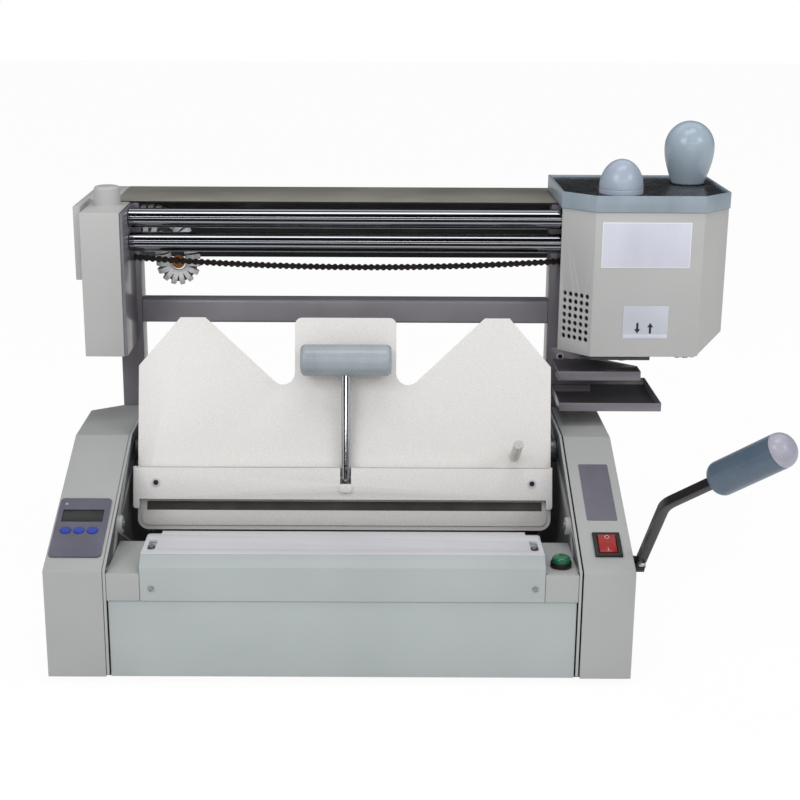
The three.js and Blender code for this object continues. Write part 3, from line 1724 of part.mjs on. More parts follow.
// Milling motor under the frame, and its toothed cutter
function millingHead() {
  const top = frameBottom - seat;
  const can = discZ(motorX, motorY, motorRadius, motorBottom, top, 28);
  const socket = discZ(
    motorX,
    motorY,
    cutterShaftRadius + bore,
    motorBottom - overrun,
    motorBottom + cutterRadius,
    16,
  );
  place("milling_motor", cut(can, socket), darkSteel, carriage);

  const points = [];
  for (let tooth = 0; tooth < cutterTeeth; tooth += 1) {
    const pitch = (Math.PI * 2) / cutterTeeth;
    const root = cutterRadius - cutterGullet;
    const radii = [cutterRadius, cutterRadius, root, root];
    radii.forEach((radius, index) => {
      const angle = pitch * (tooth + cutterToothShares[index]);
      points.push([motorX + radius * Math.cos(angle), motorY + radius * Math.sin(angle)]);
    });
  }
  const disc = alongZ(outline(points), cutterBottom, cutterTop);
  const spindleTop = motorBottom + cutterRadius - seat;
  const spindle = discZ(motorX, motorY, cutterShaftRadius, cutterTop - overrun, spindleTop, 16);
  place("milling_cutter", join(disc, spindle), steel, carriage);
}

basePan();
feet();
leftCover();
rightCover();
cheek("left_cheek_plate", leftCheekX, -1);
cheek("right_cheek_plate", rightCheekX, 1);
rearCover();
powerInlet();
lowerFrontPanel();
deck();
nipHousing();
nipPlate();
nipShaft();
leverHub();
leverArm();
leverGrip();
controlPanel();
powerSwitch();
startButton();
post("left_post", leftPostX);
post("right_post", rightPostX);
crossbar();
beam();
beamEndCover();
leftEndBox();
leftRodPlate();
rods();
driveChain();
harness();
trayBracket();
dripTray();
bookPlate();
clampArm("left_clamp_arm", plateLeftX, leftCheekX, -1);
clampArm("right_clamp_arm", plateRightX, rightCheekX, 1);
clampJaw();
teeHandle();
stopPin();
carriageHousing();
carriageLid();
fillerCap();
pushKnob();
slideFrame();
gluePot();
glueRoller();
driveSprocket();
rollerBelt();
millingHead();

// The whole stands with its feet on the ground plane, centred on the origin
const bounds = new THREE.Box3().setFromObject(machine);
const middle = bounds.getCenter(new THREE.Vector3());
machine.position.set(-middle.x, -middle.y, -bounds.min.z);
console.log("moved by", machine.position.toArray().map((value) => value.toFixed(3)).join(", "), "mm");
const assembly = new THREE.Group();
assembly.add(machine);

export default assembly;
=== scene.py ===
# %% [markdown]
# # A desktop perfect binding machine
# The machine has a sheet-metal base with two sloped side covers, a book clamp that tips over backwards, a nip unit
# worked by a hand lever, and a carriage that mills and glues the spine while it slides along two steel rods.
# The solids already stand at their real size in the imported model, so this lesson dresses them: sheets get soft
# folded edges, turned knobs get smooth outlines, and every surface gets a finish built from nodes.

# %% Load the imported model
import json
import math

import bmesh
import bpy
from mathutils import Matrix, Vector


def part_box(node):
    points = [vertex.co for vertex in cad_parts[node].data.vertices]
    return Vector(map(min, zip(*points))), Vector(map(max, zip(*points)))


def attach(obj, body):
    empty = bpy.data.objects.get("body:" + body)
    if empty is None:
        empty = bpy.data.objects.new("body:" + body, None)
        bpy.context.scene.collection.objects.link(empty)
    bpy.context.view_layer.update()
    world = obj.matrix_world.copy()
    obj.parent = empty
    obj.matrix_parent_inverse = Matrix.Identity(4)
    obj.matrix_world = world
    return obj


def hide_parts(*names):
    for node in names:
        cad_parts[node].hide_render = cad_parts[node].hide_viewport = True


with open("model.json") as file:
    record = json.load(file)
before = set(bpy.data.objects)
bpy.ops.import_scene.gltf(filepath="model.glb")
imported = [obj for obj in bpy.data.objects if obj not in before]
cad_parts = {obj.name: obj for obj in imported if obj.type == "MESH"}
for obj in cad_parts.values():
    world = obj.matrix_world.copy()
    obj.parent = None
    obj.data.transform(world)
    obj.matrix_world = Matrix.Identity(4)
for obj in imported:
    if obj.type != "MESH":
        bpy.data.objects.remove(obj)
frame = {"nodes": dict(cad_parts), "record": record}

home = bpy.context.scene.collection
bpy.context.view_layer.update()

# %% [markdown]
# ## Where things are
# Drawings of such a machine start from its front edge, halfway between the side covers, at the underside of the
# base. The same corner is used here, in millimetres, so each small piece can be given by its place on the drawing.
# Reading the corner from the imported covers, and not typing it, keeps every piece in place if the base moves.

# %% The drawing's corner
left_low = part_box("left_side_cover")[0]
right_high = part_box("right_side_cover")[1]
corner = Vector(((left_low[0] + right_high[0]) / 2, left_low[1], left_low[2]))


def spot(x, y, z):
    """A place on the drawing, in millimetres, as a point of the model in metres."""
    return corner + Vector((x, y, z)) / 1000


print("drawing's corner in the model:", [round(value, 4) for value in corner])

# %% [markdown]
# ## Camera
# The photograph was taken from about 1.3 m in front of the machine and a little above it. Lines that run back into
# the scene tell the height and the downward tilt, and the known width of the base tells the distance. The picture is
# cropped a little off its optical centre, which a small sideways shift of the lens reproduces.

# %% Set up the camera
camera_data = bpy.data.cameras.new("photo_camera")
camera_data.sensor_width = 36
camera_data.lens = 68.4
camera_data.shift_x = 0.0375
camera_data.clip_start = 0.05
camera_data.clip_end = 60
camera = bpy.data.objects.new("photo_camera", camera_data)
home.objects.link(camera)
look = Matrix.Rotation(math.radians(90 - 16.1), 4, "X") @ Matrix.Rotation(math.radians(0.24), 4, "Z")
camera.matrix_world = Matrix.Translation(spot(27.2, -1282.7, 638.6)) @ look
bpy.context.scene.camera = camera
print("camera at", [round(value, 3) for value in camera.matrix_world.translation])

# %% [markdown]
# ## Studio
# The machine was photographed on white. Its polished and glossy pieces show whatever stands round them, so the studio
# is built with care: a pale floor, dark cards, a white world and five lamps. Their looks are small trees of nodes, so
# two helpers come first, one that adds a node and one that sets a socket of a finish.

# %% Helpers for nodes
bpy.context.scene.view_settings.view_transform = "Standard"


def add_node(tree, kind, **values):
    """A new node of a tree, with some of its sockets set by name."""
    node = tree.nodes.new(kind)
    for socket, value in values.items():
        node.inputs[socket].default_value = value
    return node


def set_socket(material, socket, value):
    """Sets one socket of a material's Principled shader."""
    material.node_tree.nodes["Principled BSDF"].inputs[socket].default_value = value


print("view transform:", bpy.context.scene.view_settings.view_transform)

# %% [markdown]
# ## Floor and dark cards
# The floor is matte, so it catches the machine's shadow, but the camera sees it glow nearly white where no shadow
# falls. Round the machine stand dark cards that only reflections see. They give the rods their black bands and the
# knobs their dark outlines, which no lamp alone would do. A one-face grid is enough for each.

# %% Lay the floor and stand the dark cards
def floor_finish():
    """A pale floor that is white to the camera except where the machine shades it."""
    material = bpy.data.materials.new("studio_floor")
    material.use_nodes = True
    tree = material.node_tree
    tree.nodes.clear()
    out = add_node(tree, "ShaderNodeOutputMaterial")
    mix = add_node(tree, "ShaderNodeMixShader")
    matte = add_node(tree, "ShaderNodeBsdfDiffuse", Color=(0.95, 0.95, 0.95, 1))
    glow = add_node(tree, "ShaderNodeEmission", Color=(1, 1, 1, 1), Strength=1.0)
    path = add_node(tree, "ShaderNodeLightPath")
    share = add_node(tree, "ShaderNodeMath")
    share.operation = "MULTIPLY"
    share.inputs[1].default_value = 0.95
    tree.links.new(path.outputs["Is Camera Ray"], share.inputs[0])
    tree.links.new(share.outputs[0], mix.inputs["Fac"])
    tree.links.new(matte.outputs[0], mix.inputs[1])
    tree.links.new(glow.outputs[0], mix.inputs[2])
    tree.links.new(mix.outputs[0], out.inputs["Surface"])
    return material


def studio_card(name, size, place, turn, material, axis="X"):
    """A flat card, such as the floor or a dark flag, that isn't part of the machine."""
    card = bmesh.new()
    bmesh.ops.create_grid(card, x_segments=1, y_segments=1, size=0.5)
    bmesh.ops.scale(card, vec=(size[0], size[1], 1), verts=card.verts)
    bmesh.ops.rotate(card, cent=(0, 0, 0), matrix=Matrix.Rotation(math.radians(turn), 3, axis), verts=card.verts)
    bmesh.ops.translate(card, vec=place, verts=card.verts)
    mesh = bpy.data.meshes.new(name)
    card.to_mesh(mesh)
    card.free()
    mesh.materials.append(material)
    made = bpy.data.objects.new(name, mesh)
    home.objects.link(made)
    return made


dark_card = bpy.data.materials.new("dark_card")
dark_card.use_nodes = True
set_socket(dark_card, "Base Color", (0.02, 0.02, 0.02, 1))
set_socket(dark_card, "Roughness", 1.0)

studio_card("studio_floor", (14, 14), (0, 2, 0), 0, floor_finish())
card_rows = [
    ("low_flag", (6, 2.0), (0, -2.6, 0.65), 90, "X"),
    ("high_flag", (6, 1.9), (0, -2.6, 2.6), 90, "X"),
    ("roof_flag", (6, 3.4), (0, -0.9, 3.4), 0, "X"),
    ("floor_flag", (6, 2.1), (0, -1.55, 0.003), 0, "X"),
    ("back_flag", (6, 3.3), (0, 3.0, 1.95), 90, "X"),
    ("left_flag", (3.3, 6), (-3.0, 0, 1.95), 90, "Y"),
    ("right_flag", (3.3, 6), (3.0, 0, 1.95), 90, "Y"),
]
for card_name, size, place, turn, axis in card_rows:
    flag = studio_card(card_name, size, place, turn, dark_card, axis)
    flag.visible_camera = False
    flag.visible_diffuse = False
    flag.visible_shadow = False
print("floor and", len(card_rows), "dark cards")

# %% [markdown]
# ## World
# The world is what surrounds everything. The camera and glossy reflections see it plain white, as the background of
# the photograph is. All other light comes from a dimmer and slightly warm copy of it, because a full white world would
# flatten the folds. A Light Path node tells the two apart.

# %% Light the world
world = bpy.data.worlds.new("studio_world")
bpy.context.scene.world = world
world.use_nodes = True
sky = world.node_tree
sky.nodes.clear()
sky_out = add_node(sky, "ShaderNodeOutputWorld")
sky_mix = add_node(sky, "ShaderNodeMixShader")
sky_fill = add_node(sky, "ShaderNodeBackground", Color=(1.0, 0.995, 0.985, 1), Strength=0.55)
sky_white = add_node(sky, "ShaderNodeBackground", Color=(1, 1, 1, 1), Strength=1.0)
sky_path = add_node(sky, "ShaderNodeLightPath")
sky_seen = add_node(sky, "ShaderNodeMath")
sky_seen.operation = "MAXIMUM"
sky.links.new(sky_path.outputs["Is Camera Ray"], sky_seen.inputs[0])
sky.links.new(sky_path.outputs["Is Glossy Ray"], sky_seen.inputs[1])
sky.links.new(sky_seen.outputs[0], sky_mix.inputs["Fac"])
sky.links.new(sky_fill.outputs[0], sky_mix.inputs[1])
sky.links.new(sky_white.outputs[0], sky_mix.inputs[2])
sky.links.new(sky_mix.outputs[0], sky_out.inputs["Surface"])
print("world:", world.name, len(sky.nodes), "nodes")

# %% [markdown]
# ## Lamps
# Two large lamps stand to the left and right above the camera, and a dim one overhead lifts the tops. Two long lamps
# in front of the cards draw the thin bright line along each rod and down the handle's stem. Area lamps are chosen
# because their size sets how soft a shadow's edge is.

# %% Hang the lamps
def soft_lamp(name, place, size, watts):
    """A rectangular lamp that looks at the middle of the machine."""
    data = bpy.data.lights.new(name, "AREA")
    data.shape = "RECTANGLE"
    data.size, data.size_y = size
    data.energy = watts
    lamp = bpy.data.objects.new(name, data)
    home.objects.link(lamp)
    lamp.location = place
    lamp.rotation_euler = (Vector((0, 0, 0.22)) - Vector(place)).to_track_quat("-Z", "Y").to_euler()
    return lamp


lamp_rows = [
    ("left_lamp", (-1.5, -1.7, 1.9), (1.3, 1.0), 18),
    ("right_lamp", (1.7, -1.4, 1.7), (1.0, 0.8), 10),
    ("top_lamp", (0.1, -0.35, 2.3), (1.6, 0.7), 12),
    ("strip_lamp", (0, -2.3, 1.36), (3.4, 0.12), 7),
    ("front_lamp", (0.05, -2.35, 0.5), (1.7, 0.2), 3),
]
for lamp_name, place, size, watts in lamp_rows:
    lamp = soft_lamp(lamp_name, place, size, watts)
    print(lamp.name, watts, "W")

# %% [markdown]
# ## Finishes
# Each finish is a small tree of nodes on the Principled shader. It starts from a bare finish, whose plain constants
# are set on the shader's own sockets. Colours are written as codes, because they are easy to compare with a picture,
# and are turned into the linear values that the shader works with.

# %% Colours and the bare finish
def colour_of(code):
    """A colour as a linear triple from a code such as #b9bab9, read off a photograph."""
    values = [int(code[place : place + 2], 16) / 255 for place in (1, 3, 5)]
    return [v / 12.92 if v <= 0.04045 else ((v + 0.055) / 1.055) ** 2.4 for v in values]


def bare_finish(name, base, roughness, metallic=0.0, gloss=0.5):
    """A material with one Principled shader; returns the material, its tree and the shader."""
    material = bpy.data.materials.new(name)
    material.use_nodes = True
    tree = material.node_tree
    shader = tree.nodes["Principled BSDF"]
    shader.inputs["Base Color"].default_value = (*colour_of(base), 1)
    shader.inputs["Roughness"].default_value = roughness
    shader.inputs["Metallic"].default_value = metallic
    shader.inputs["Specular IOR Level"].default_value = gloss
    return material, tree, shader


print("middle grey in linear light:", round(colour_of("#808080")[0], 3))

# %% [markdown]
# ## Grain
# No real surface is even. Noise in Object coordinates drives three things: a colour that drifts a little, a fine bump
# and a roughness that varies with it. Object coordinates are chosen because they stay with a piece when it moves.

# %% Noise, ramps and bumps
def noise(tree, scale, detail=3.0, stretch=(1, 1, 1)):
    """Noise in Object coordinates, with scale in features a metre."""
    place = add_node(tree, "ShaderNodeTexCoord")
    mapping = add_node(tree, "ShaderNodeMapping", Scale=stretch)
    texture = add_node(tree, "ShaderNodeTexNoise", Scale=scale, Detail=detail)
    tree.links.new(place.outputs["Object"], mapping.inputs["Vector"])
    tree.links.new(mapping.outputs["Vector"], texture.inputs["Vector"])
    return texture.outputs["Fac"]


def ramp(tree, value, stops):
    """A colour ramp from pairs of a position and a colour code or a grey number."""
    node = add_node(tree, "ShaderNodeValToRGB")
    while len(node.color_ramp.elements) < len(stops):
        node.color_ramp.elements.new(0.5)
    for element, (position, shade) in zip(node.color_ramp.elements, stops):
        element.position = position
        element.color = (*colour_of(shade), 1) if isinstance(shade, str) else (shade, shade, shade, 1)
    tree.links.new(value, node.inputs["Fac"])
    return node.outputs["Color"]


def grain(tree, shader, height, strength, distance):
    """A bump from a height, with its distance in metres."""
    bump = add_node(tree, "ShaderNodeBump", Strength=strength, Distance=distance)
    tree.links.new(height, bump.inputs["Height"])
    tree.links.new(bump.outputs["Normal"], shader.inputs["Normal"])


print("helpers for grain: noise, ramp and bump")

# %% [markdown]
# ## Powder coat on the sheet metal
# The covers are light neutral grey, and the panel and the nip housing are a little cooler. Powder coat dries with a
# fine orange peel, so a bump of close noise lies over a slow drift of colour.

# %% Coated sheet finishes
def coated(name, darker, base, lighter, roughness, grain_scale, grain_depth, blotch=9.0):
    """Powder coat: a slow drift of colour, a fine orange peel and a roughness that follows it."""
    material, tree, shader = bare_finish(name, base, roughness)
    drift = noise(tree, blotch, 2.0)
    tree.links.new(ramp(tree, drift, [(0.3, darker), (0.5, base), (0.72, lighter)]), shader.inputs["Base Color"])
    peel = noise(tree, grain_scale, 4.0)
    grain(tree, shader, peel, 0.35, grain_depth)
    spread = ramp(tree, peel, [(0.3, roughness - 0.07), (0.7, roughness + 0.07)])
    tree.links.new(spread, shader.inputs["Roughness"])
    return material


cover_grey = coated("cover_grey_coat", "#9fa1a1", "#a2a4a4", "#a6a8a8", 0.46, 1500, 0.00012)
carriage_grey = coated("carriage_grey_coat", "#aeafae", "#b1b2b1", "#b5b6b5", 0.46, 1500, 0.00012)
panel_grey = coated("panel_grey_coat", "#a0a7a8", "#a4abac", "#a8afb0", 0.46, 1500, 0.00012)
nip_white = coated("nip_plate_white", "#bebfc5", "#c1c2c8", "#c5c6cb", 0.4, 1100, 0.00006)
pan_dark = coated("pan_dark_coat", "#37373a", "#3b3b3e", "#414144", 0.6, 1200, 0.00012)
print("sheet finishes:", cover_grey.name, carriage_grey.name, panel_grey.name, nip_white.name, pan_dark.name)

# %% [markdown]
# ## Textured powder on the clamp
# The clamp's plates are off-white with the fine speckle that a textured powder leaves. The speckle is its own noise:
# dark and light flecks a millimetre wide. The bump reads the same noise, so that light and colour agree.

# %% Speckled finish
def speckled(name, dark, base, light, roughness):
    """Textured powder with flecks a millimetre wide."""
    material, tree, shader = bare_finish(name, base, roughness)
    flecks = noise(tree, 900, 3.0)
    tree.links.new(ramp(tree, flecks, [(0.36, dark), (0.5, base), (0.66, light)]), shader.inputs["Base Color"])
    grain(tree, shader, flecks, 0.25, 0.00012)
    tree.links.new(ramp(tree, flecks, [(0.3, roughness - 0.1), (0.7, roughness + 0.1)]), shader.inputs["Roughness"])
    return material


clamp_white = speckled("clamp_plate_speckle", "#cfccca", "#d5d3d1", "#dbd9d8", 0.42)
print("speckled finish:", clamp_white.name)

# %% [markdown]
# ## Enamel, steel and castings
# Posts, crossbar, beam and tray are sprayed with a dark glossy enamel that ripples a little. The rods and the
# handle's stem are chromed. Turned steel has rings round its axis, which stretched noise imitates, and the slide
# frame is a machined aluminium casting. Two helpers cover all of them, because only their numbers differ.

# %% Metal finishes
def enamel(name, darker, base, lighter, roughness):
    """Sprayed gloss enamel with a slow ripple and a clear skin."""
    material, tree, shader = bare_finish(name, base, roughness)
    drift = noise(tree, 14, 3.0)
    tree.links.new(ramp(tree, drift, [(0.3, darker), (0.5, base), (0.7, lighter)]), shader.inputs["Base Color"])
    ripple = noise(tree, 240, 2.0)
    grain(tree, shader, ripple, 0.25, 0.00012)
    shader.inputs["Coat Weight"].default_value = 0.35
    shader.inputs["Coat Roughness"].default_value = 0.12
    return material


def polished(name, base, roughness, scratch_scale, stretch, tint):
    """Bright metal with fine scratches along one direction."""
    material, tree, shader = bare_finish(name, base, roughness, metallic=1.0)
    scratches = noise(tree, scratch_scale, 4.0, stretch)
    tree.links.new(ramp(tree, scratches, [(0.3, tint), (0.7, base)]), shader.inputs["Base Color"])
    rough = ramp(tree, scratches, [(0.3, max(roughness - 0.04, 0.02)), (0.75, roughness + 0.06)])
    tree.links.new(rough, shader.inputs["Roughness"])
    grain(tree, shader, scratches, 0.12, 0.00004)
    return material


frame_enamel = enamel("frame_dark_enamel", "#6a676e", "#716e75", "#78757c", 0.3)
beam_enamel = enamel("beam_dark_enamel", "#7f7c76", "#89867f", "#949189", 0.42)
crossbar_enamel = enamel("crossbar_grey_enamel", "#85828a", "#8c8990", "#939097", 0.34)
tray_enamel = enamel("tray_grey_enamel", "#434046", "#4a474d", "#524f55", 0.3)
arm_enamel = enamel("lever_black_enamel", "#1b181a", "#1f1c1e", "#252224", 0.28)
rod_chrome = polished("rod_chrome", "#9a9ca2", 0.03, 900, (0.02, 0.3, 0.3), "#909298")
handle_chrome = polished("handle_chrome", "#c9cbce", 0.09, 500, (1, 1, 1), "#bcbec2")
turned_steel = polished("turned_steel", "#a9abad", 0.3, 1400, (0.1, 1, 0.1), "#85878a")
cast_metal = polished("cast_aluminium", "#b7b9bb", 0.42, 300, (1, 1, 1), "#9fa1a4")
chain_steel = polished("oiled_chain_steel", "#5a524e", 0.42, 700, (1, 1, 1), "#3a3431")
pin_steel = polished("bright_pin_steel", "#d2d0cd", 0.3, 700, (1, 1, 1), "#c3c1be")
set_socket(arm_enamel, "Coat Weight", 0.1)
set_socket(arm_enamel, "Specular IOR Level", 0.3)
set_socket(pin_steel, "Metallic", 0.3)
print("metal finishes:", frame_enamel.name, rod_chrome.name, turned_steel.name, cast_metal.name, chain_steel.name)

# %% [markdown]
# ## Painted light and shade by facing
# The beam and the tray show another tone on top than on their sides, and that tone is painted light and shade: dark
# sides on the beam, a darker top than sides on the tray. The upward part of a face's own direction picks between two
# colours, so one finish serves the whole piece and its folds blend from one tone into the other.

# %% Painted shade and light for the other sides
def facing_painted_light(material, code):
    """Gives the faces of a finish that don't look up a colour of their own: painted light and shade by facing."""
    tree = material.node_tree
    shader = tree.nodes["Principled BSDF"]
    upper = shader.inputs["Base Color"].links[0].from_socket
    place = add_node(tree, "ShaderNodeTexCoord")
    parts = add_node(tree, "ShaderNodeSeparateXYZ")
    blend = add_node(tree, "ShaderNodeMix")
    blend.data_type = "RGBA"
    blend.inputs[6].default_value = (*colour_of(code), 1)
    tree.links.new(place.outputs["Normal"], parts.inputs[0])
    tree.links.new(ramp(tree, parts.outputs["Z"], [(0.4, 0.0), (0.6, 1.0)]), blend.inputs[0])
    tree.links.new(upper, blend.inputs[7])
    tree.links.new(blend.outputs[2], shader.inputs["Base Color"])


# Painted shade on the beam's sides, and painted light and shade between the tray's top and its sides
facing_painted_light(beam_enamel, "#29272a")
facing_painted_light(tray_enamel, "#77737b")
print("two tones:", beam_enamel.name, tray_enamel.name)

# %% [markdown]
# ## Plastics and rubber
# Knobs and grips are moulded in a glossy blue-grey with a faint flow pattern, the lid in a darker one. The smaller
# plastics get their own grain: a fine leather grain on the black parts, a silky film on the control panel.

# %% Plastic finishes
def moulded(name, darker, base, lighter, roughness, flow_scale=28.0, grain_scale=900.0, depth=0.00003):
    """Moulded plastic with a faint flow pattern and a fine grain."""
    material, tree, shader = bare_finish(name, base, roughness)
    flow = noise(tree, flow_scale, 3.0, (1, 1, 0.4))
    tree.links.new(ramp(tree, flow, [(0.3, darker), (0.5, base), (0.7, lighter)]), shader.inputs["Base Color"])
    fine = noise(tree, grain_scale, 3.0)
    grain(tree, shader, fine, 0.2, depth)
    tree.links.new(ramp(tree, fine, [(0.3, roughness - 0.04), (0.7, roughness + 0.05)]), shader.inputs["Roughness"])
    return material


knob_blue = moulded("knob_blue_grey", "#96a5b3", "#9dacba", "#a4b3c0", 0.2, depth=0.00002)
cap_blue = moulded("filler_cap_blue", "#98a3b3", "#9faaba", "#a6b1c0", 0.24, depth=0.00002)
grip_grey = moulded("tee_grip_grey", "#929ba1", "#99a2a8", "#a0a9af", 0.26, depth=0.00002)
grip_slate = moulded("lever_grip_slate", "#4a5969", "#505f6f", "#576676", 0.24, depth=0.00002)
crown_lilac = moulded("lever_crown_lilac", "#9898a6", "#a0a0ae", "#a8a8b5", 0.26, depth=0.00002)
lid_blue = moulded("lid_blue_grey", "#87949f", "#8e9ba6", "#95a2ad", 0.3)
black_grained = moulded("black_grained_plastic", "#0e0e10", "#121214", "#17171a", 0.42, depth=0.00008)
panel_film = moulded("panel_purple_film", "#525160", "#575665", "#5e5d6c", 0.38, depth=0.00004)
plate_purple = moulded("nameplate_purple", "#5c5b67", "#62616d", "#696873", 0.36, depth=0.00003)
label_pale = moulded("label_pale_lilac", "#c6c8d6", "#cbcddb", "#d0d2df", 0.4, depth=0.00002)
label_rim = moulded("label_rim_white", "#d6d7de", "#dadbe2", "#dfe0e6", 0.4, depth=0.00002)
sign_grey = moulded("sign_grey_plate", "#b8bcc6", "#bdc1cb", "#c2c6d0", 0.38, depth=0.00002)
ink_dark = moulded("sign_ink", "#23232a", "#28282f", "#2e2e35", 0.5, depth=0.00002)
mark_white = moulded("switch_mark_white", "#c59a96", "#cda5a1", "#d4b0ac", 0.4, depth=0.00002)
light_lens = moulded("power_light_lens", "#9c9aa8", "#a8a6b3", "#b4b2be", 0.3, depth=0.00001)
display_glass = moulded("display_glass", "#121c1a", "#16211f", "#1a2725", 0.3, depth=0.00001)
# A rubber strip whose dark colour is also painted shadow under the jaw
strip_rubber_and_shadow = moulded("grip_strip_rubber_and_painted_shadow", "#3b3836", "#454240", "#524f4c", 0.6, grain_scale=700.0, depth=0.0003)
# Painted shadow along the jaw's upper seam
seam_painted_shadow = moulded("jaw_seam_shadow", "#8f8d8b", "#979593", "#a09e9c", 0.6, depth=0.00002)
wire_black = moulded("wire_black", "#18181a", "#1d1d1f", "#232325", 0.4, depth=0.00001)
wire_orange = moulded("wire_orange_brown", "#9c5a24", "#a8632a", "#b36d33", 0.4, depth=0.00001)
wire_grey = moulded("wire_grey", "#6f7072", "#77787a", "#7f8082", 0.4, depth=0.00001)
key_blue = moulded("key_blue", "#182f8c", "#1d3798", "#2440a4", 0.3)
rocker_red = moulded("rocker_red", "#850c0a", "#970f0c", "#a91410", 0.28)
button_green = moulded("button_green", "#055236", "#08603f", "#0b6e48", 0.25)
foot_rubber = moulded("foot_rubber", "#161618", "#1b1b1d", "#222224", 0.75, depth=0.0001)
wrap_white = moulded("spiral_wrap_white", "#dde0e3", "#e6e8ea", "#eff0f1", 0.35)
for material in (rocker_red, button_green):
    set_socket(material, "Coat Weight", 0.2)
set_socket(wrap_white, "Subsurface Weight", 0.15)
set_socket(wrap_white, "Subsurface Scale", 0.002)
print("plastic finishes:", knob_blue.name, lid_blue.name, black_grained.name, panel_film.name)

# %% [markdown]
# ## Film in the lid
# The sheet in the lid's sunk top is dark and glossy, and it isn't quite flat: a slow ripple breaks its reflections
# into crinkled light patches, and lighter patches in its colour add painted reflection.

# %% Finish of the lid's sheet
lid_film, film_tree, film_shader = bare_finish("lid_dark_film", "#343537", 0.18, gloss=0.35)
film_painted_sheen = noise(film_tree, 30, 4.0)
# Lighter patches in this colour are painted reflection; the same noise also sets the roughness
film_tree.links.new(
    ramp(film_tree, film_painted_sheen, [(0.35, "#2b2c2e"), (0.55, "#343537"), (0.66, "#4c4d50"), (0.76, "#6f7175")]),
    film_shader.inputs["Base Color"],
)
film_ripple = noise(film_tree, 85, 5.0)
grain(film_tree, film_shader, film_ripple, 0.5, 0.0008)
film_tree.links.new(ramp(film_tree, film_painted_sheen, [(0.3, 0.12), (0.7, 0.35)]), film_shader.inputs["Roughness"])
print("lid film:", lid_film.name)

# %% [markdown]
# ## Cheeks
# The cheek plates carry the clamp. Their narrow edges are coated as the covers are, but their broad inner faces get a
# dark finish that is painted shade, so the well between them reads as a dark gap. Each plate stays one mesh with two
# finishes on its faces.

# %% Painted shade on the cheeks' inner faces
cheek_painted_shade = coated("cheek_inner_painted_shade", "#45454a", "#4b4b50", "#525257", 0.5, 1300, 0.0001)
print("cheek finish:", cheek_painted_shade.name)

# %% [markdown]
# ## Folded sheet edges
# Real sheet metal has no knife edges: every fold has a radius, and every cut edge is eased by its paint. The packed
# solids are sharp, so each sheet is copied, its loose triangles are merged into flat faces, and its edges get a small
# bevel. The copy then stands for the solid. Doing it this way keeps every hole and flange where the drawing has it.

# %% Copy a solid and ease its edges
def finished(name, shape, finish, node=None, body=None, crease=35):
    """Turns a bmesh into an object with a finish that rides on a body and may stand for a solid."""
    mesh = bpy.data.meshes.new(name)
    shape.to_mesh(mesh)
    shape.free()
    mesh.materials.append(finish)
    mesh.shade_smooth()
    mesh.set_sharp_from_angle(angle=math.radians(crease))
    made = bpy.data.objects.new(name, mesh)
    home.objects.link(made)
    for held, nodes in frame["record"]["behaviour"]["bodies"].items():
        if node in nodes:
            body = held
    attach(made, body)
    if node:
        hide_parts(node)
    return made


# Faces of these sheets run round an opening, so they are split into parts without inner corners before rounding
open_sheets = ("rear_cover", "left_side_cover", "right_side_cover")


def merged_copy(node):
    """A bmesh of a solid with its loose triangles merged into flat faces."""
    shape = bmesh.new()
    shape.from_mesh(frame["nodes"][node].data)
    bmesh.ops.remove_doubles(shape, verts=shape.verts, dist=2e-6)
    bmesh.ops.dissolve_limit(
        shape, angle_limit=math.radians(0.6), verts=shape.verts, edges=shape.edges, use_dissolve_boundaries=False
    )
    return shape


def eased(node, finish, radius, segments=2, sharp=28):
    """The solid's own shape with its sharp edges rounded by a radius in millimetres."""
    shape = merged_copy(node)
    if node in open_sheets:
        bmesh.ops.connect_verts_concave(shape, faces=shape.faces[:])
    shape.normal_update()
    edges = [e for e in shape.edges if len(e.link_faces) == 2 and e.calc_face_angle(0) > math.radians(sharp)]
    bmesh.ops.bevel(shape, geom=edges, offset=radius / 1000, offset_type="OFFSET", segments=segments, profile=0.5,
                    affect="EDGES", clamp_overlap=True, material=-1)
    bmesh.ops.triangulate(shape, faces=[f for f in shape.faces if len(f.verts) > 4], ngon_method="EAR_CLIP")
    return finished(node + "_sheet", shape, finish, node=node, crease=50)


print("sheets that run round an opening:", ", ".join(open_sheets))

# %% [markdown]
# ## The machine's sheets
# Each sheet gets its finish and the radius of its folds in millimetres. The fold in the side covers is shallow, so
# their edges count as sharp from a smaller angle. A cheek plate's broad faces take the painted shade finish as a
# second material on the same mesh, because cutting the plate in two would leave a seam.

# %% Ease the edges of the sheet-metal pieces
def ease_all(rows, **options):
    """Eases each solid of a list with its finish and radius, and says how many faces it has."""
    for node, finish, radius in rows:
        piece = eased(node, finish, radius, **options)
        print(piece.name, len(piece.data.polygons), "faces")


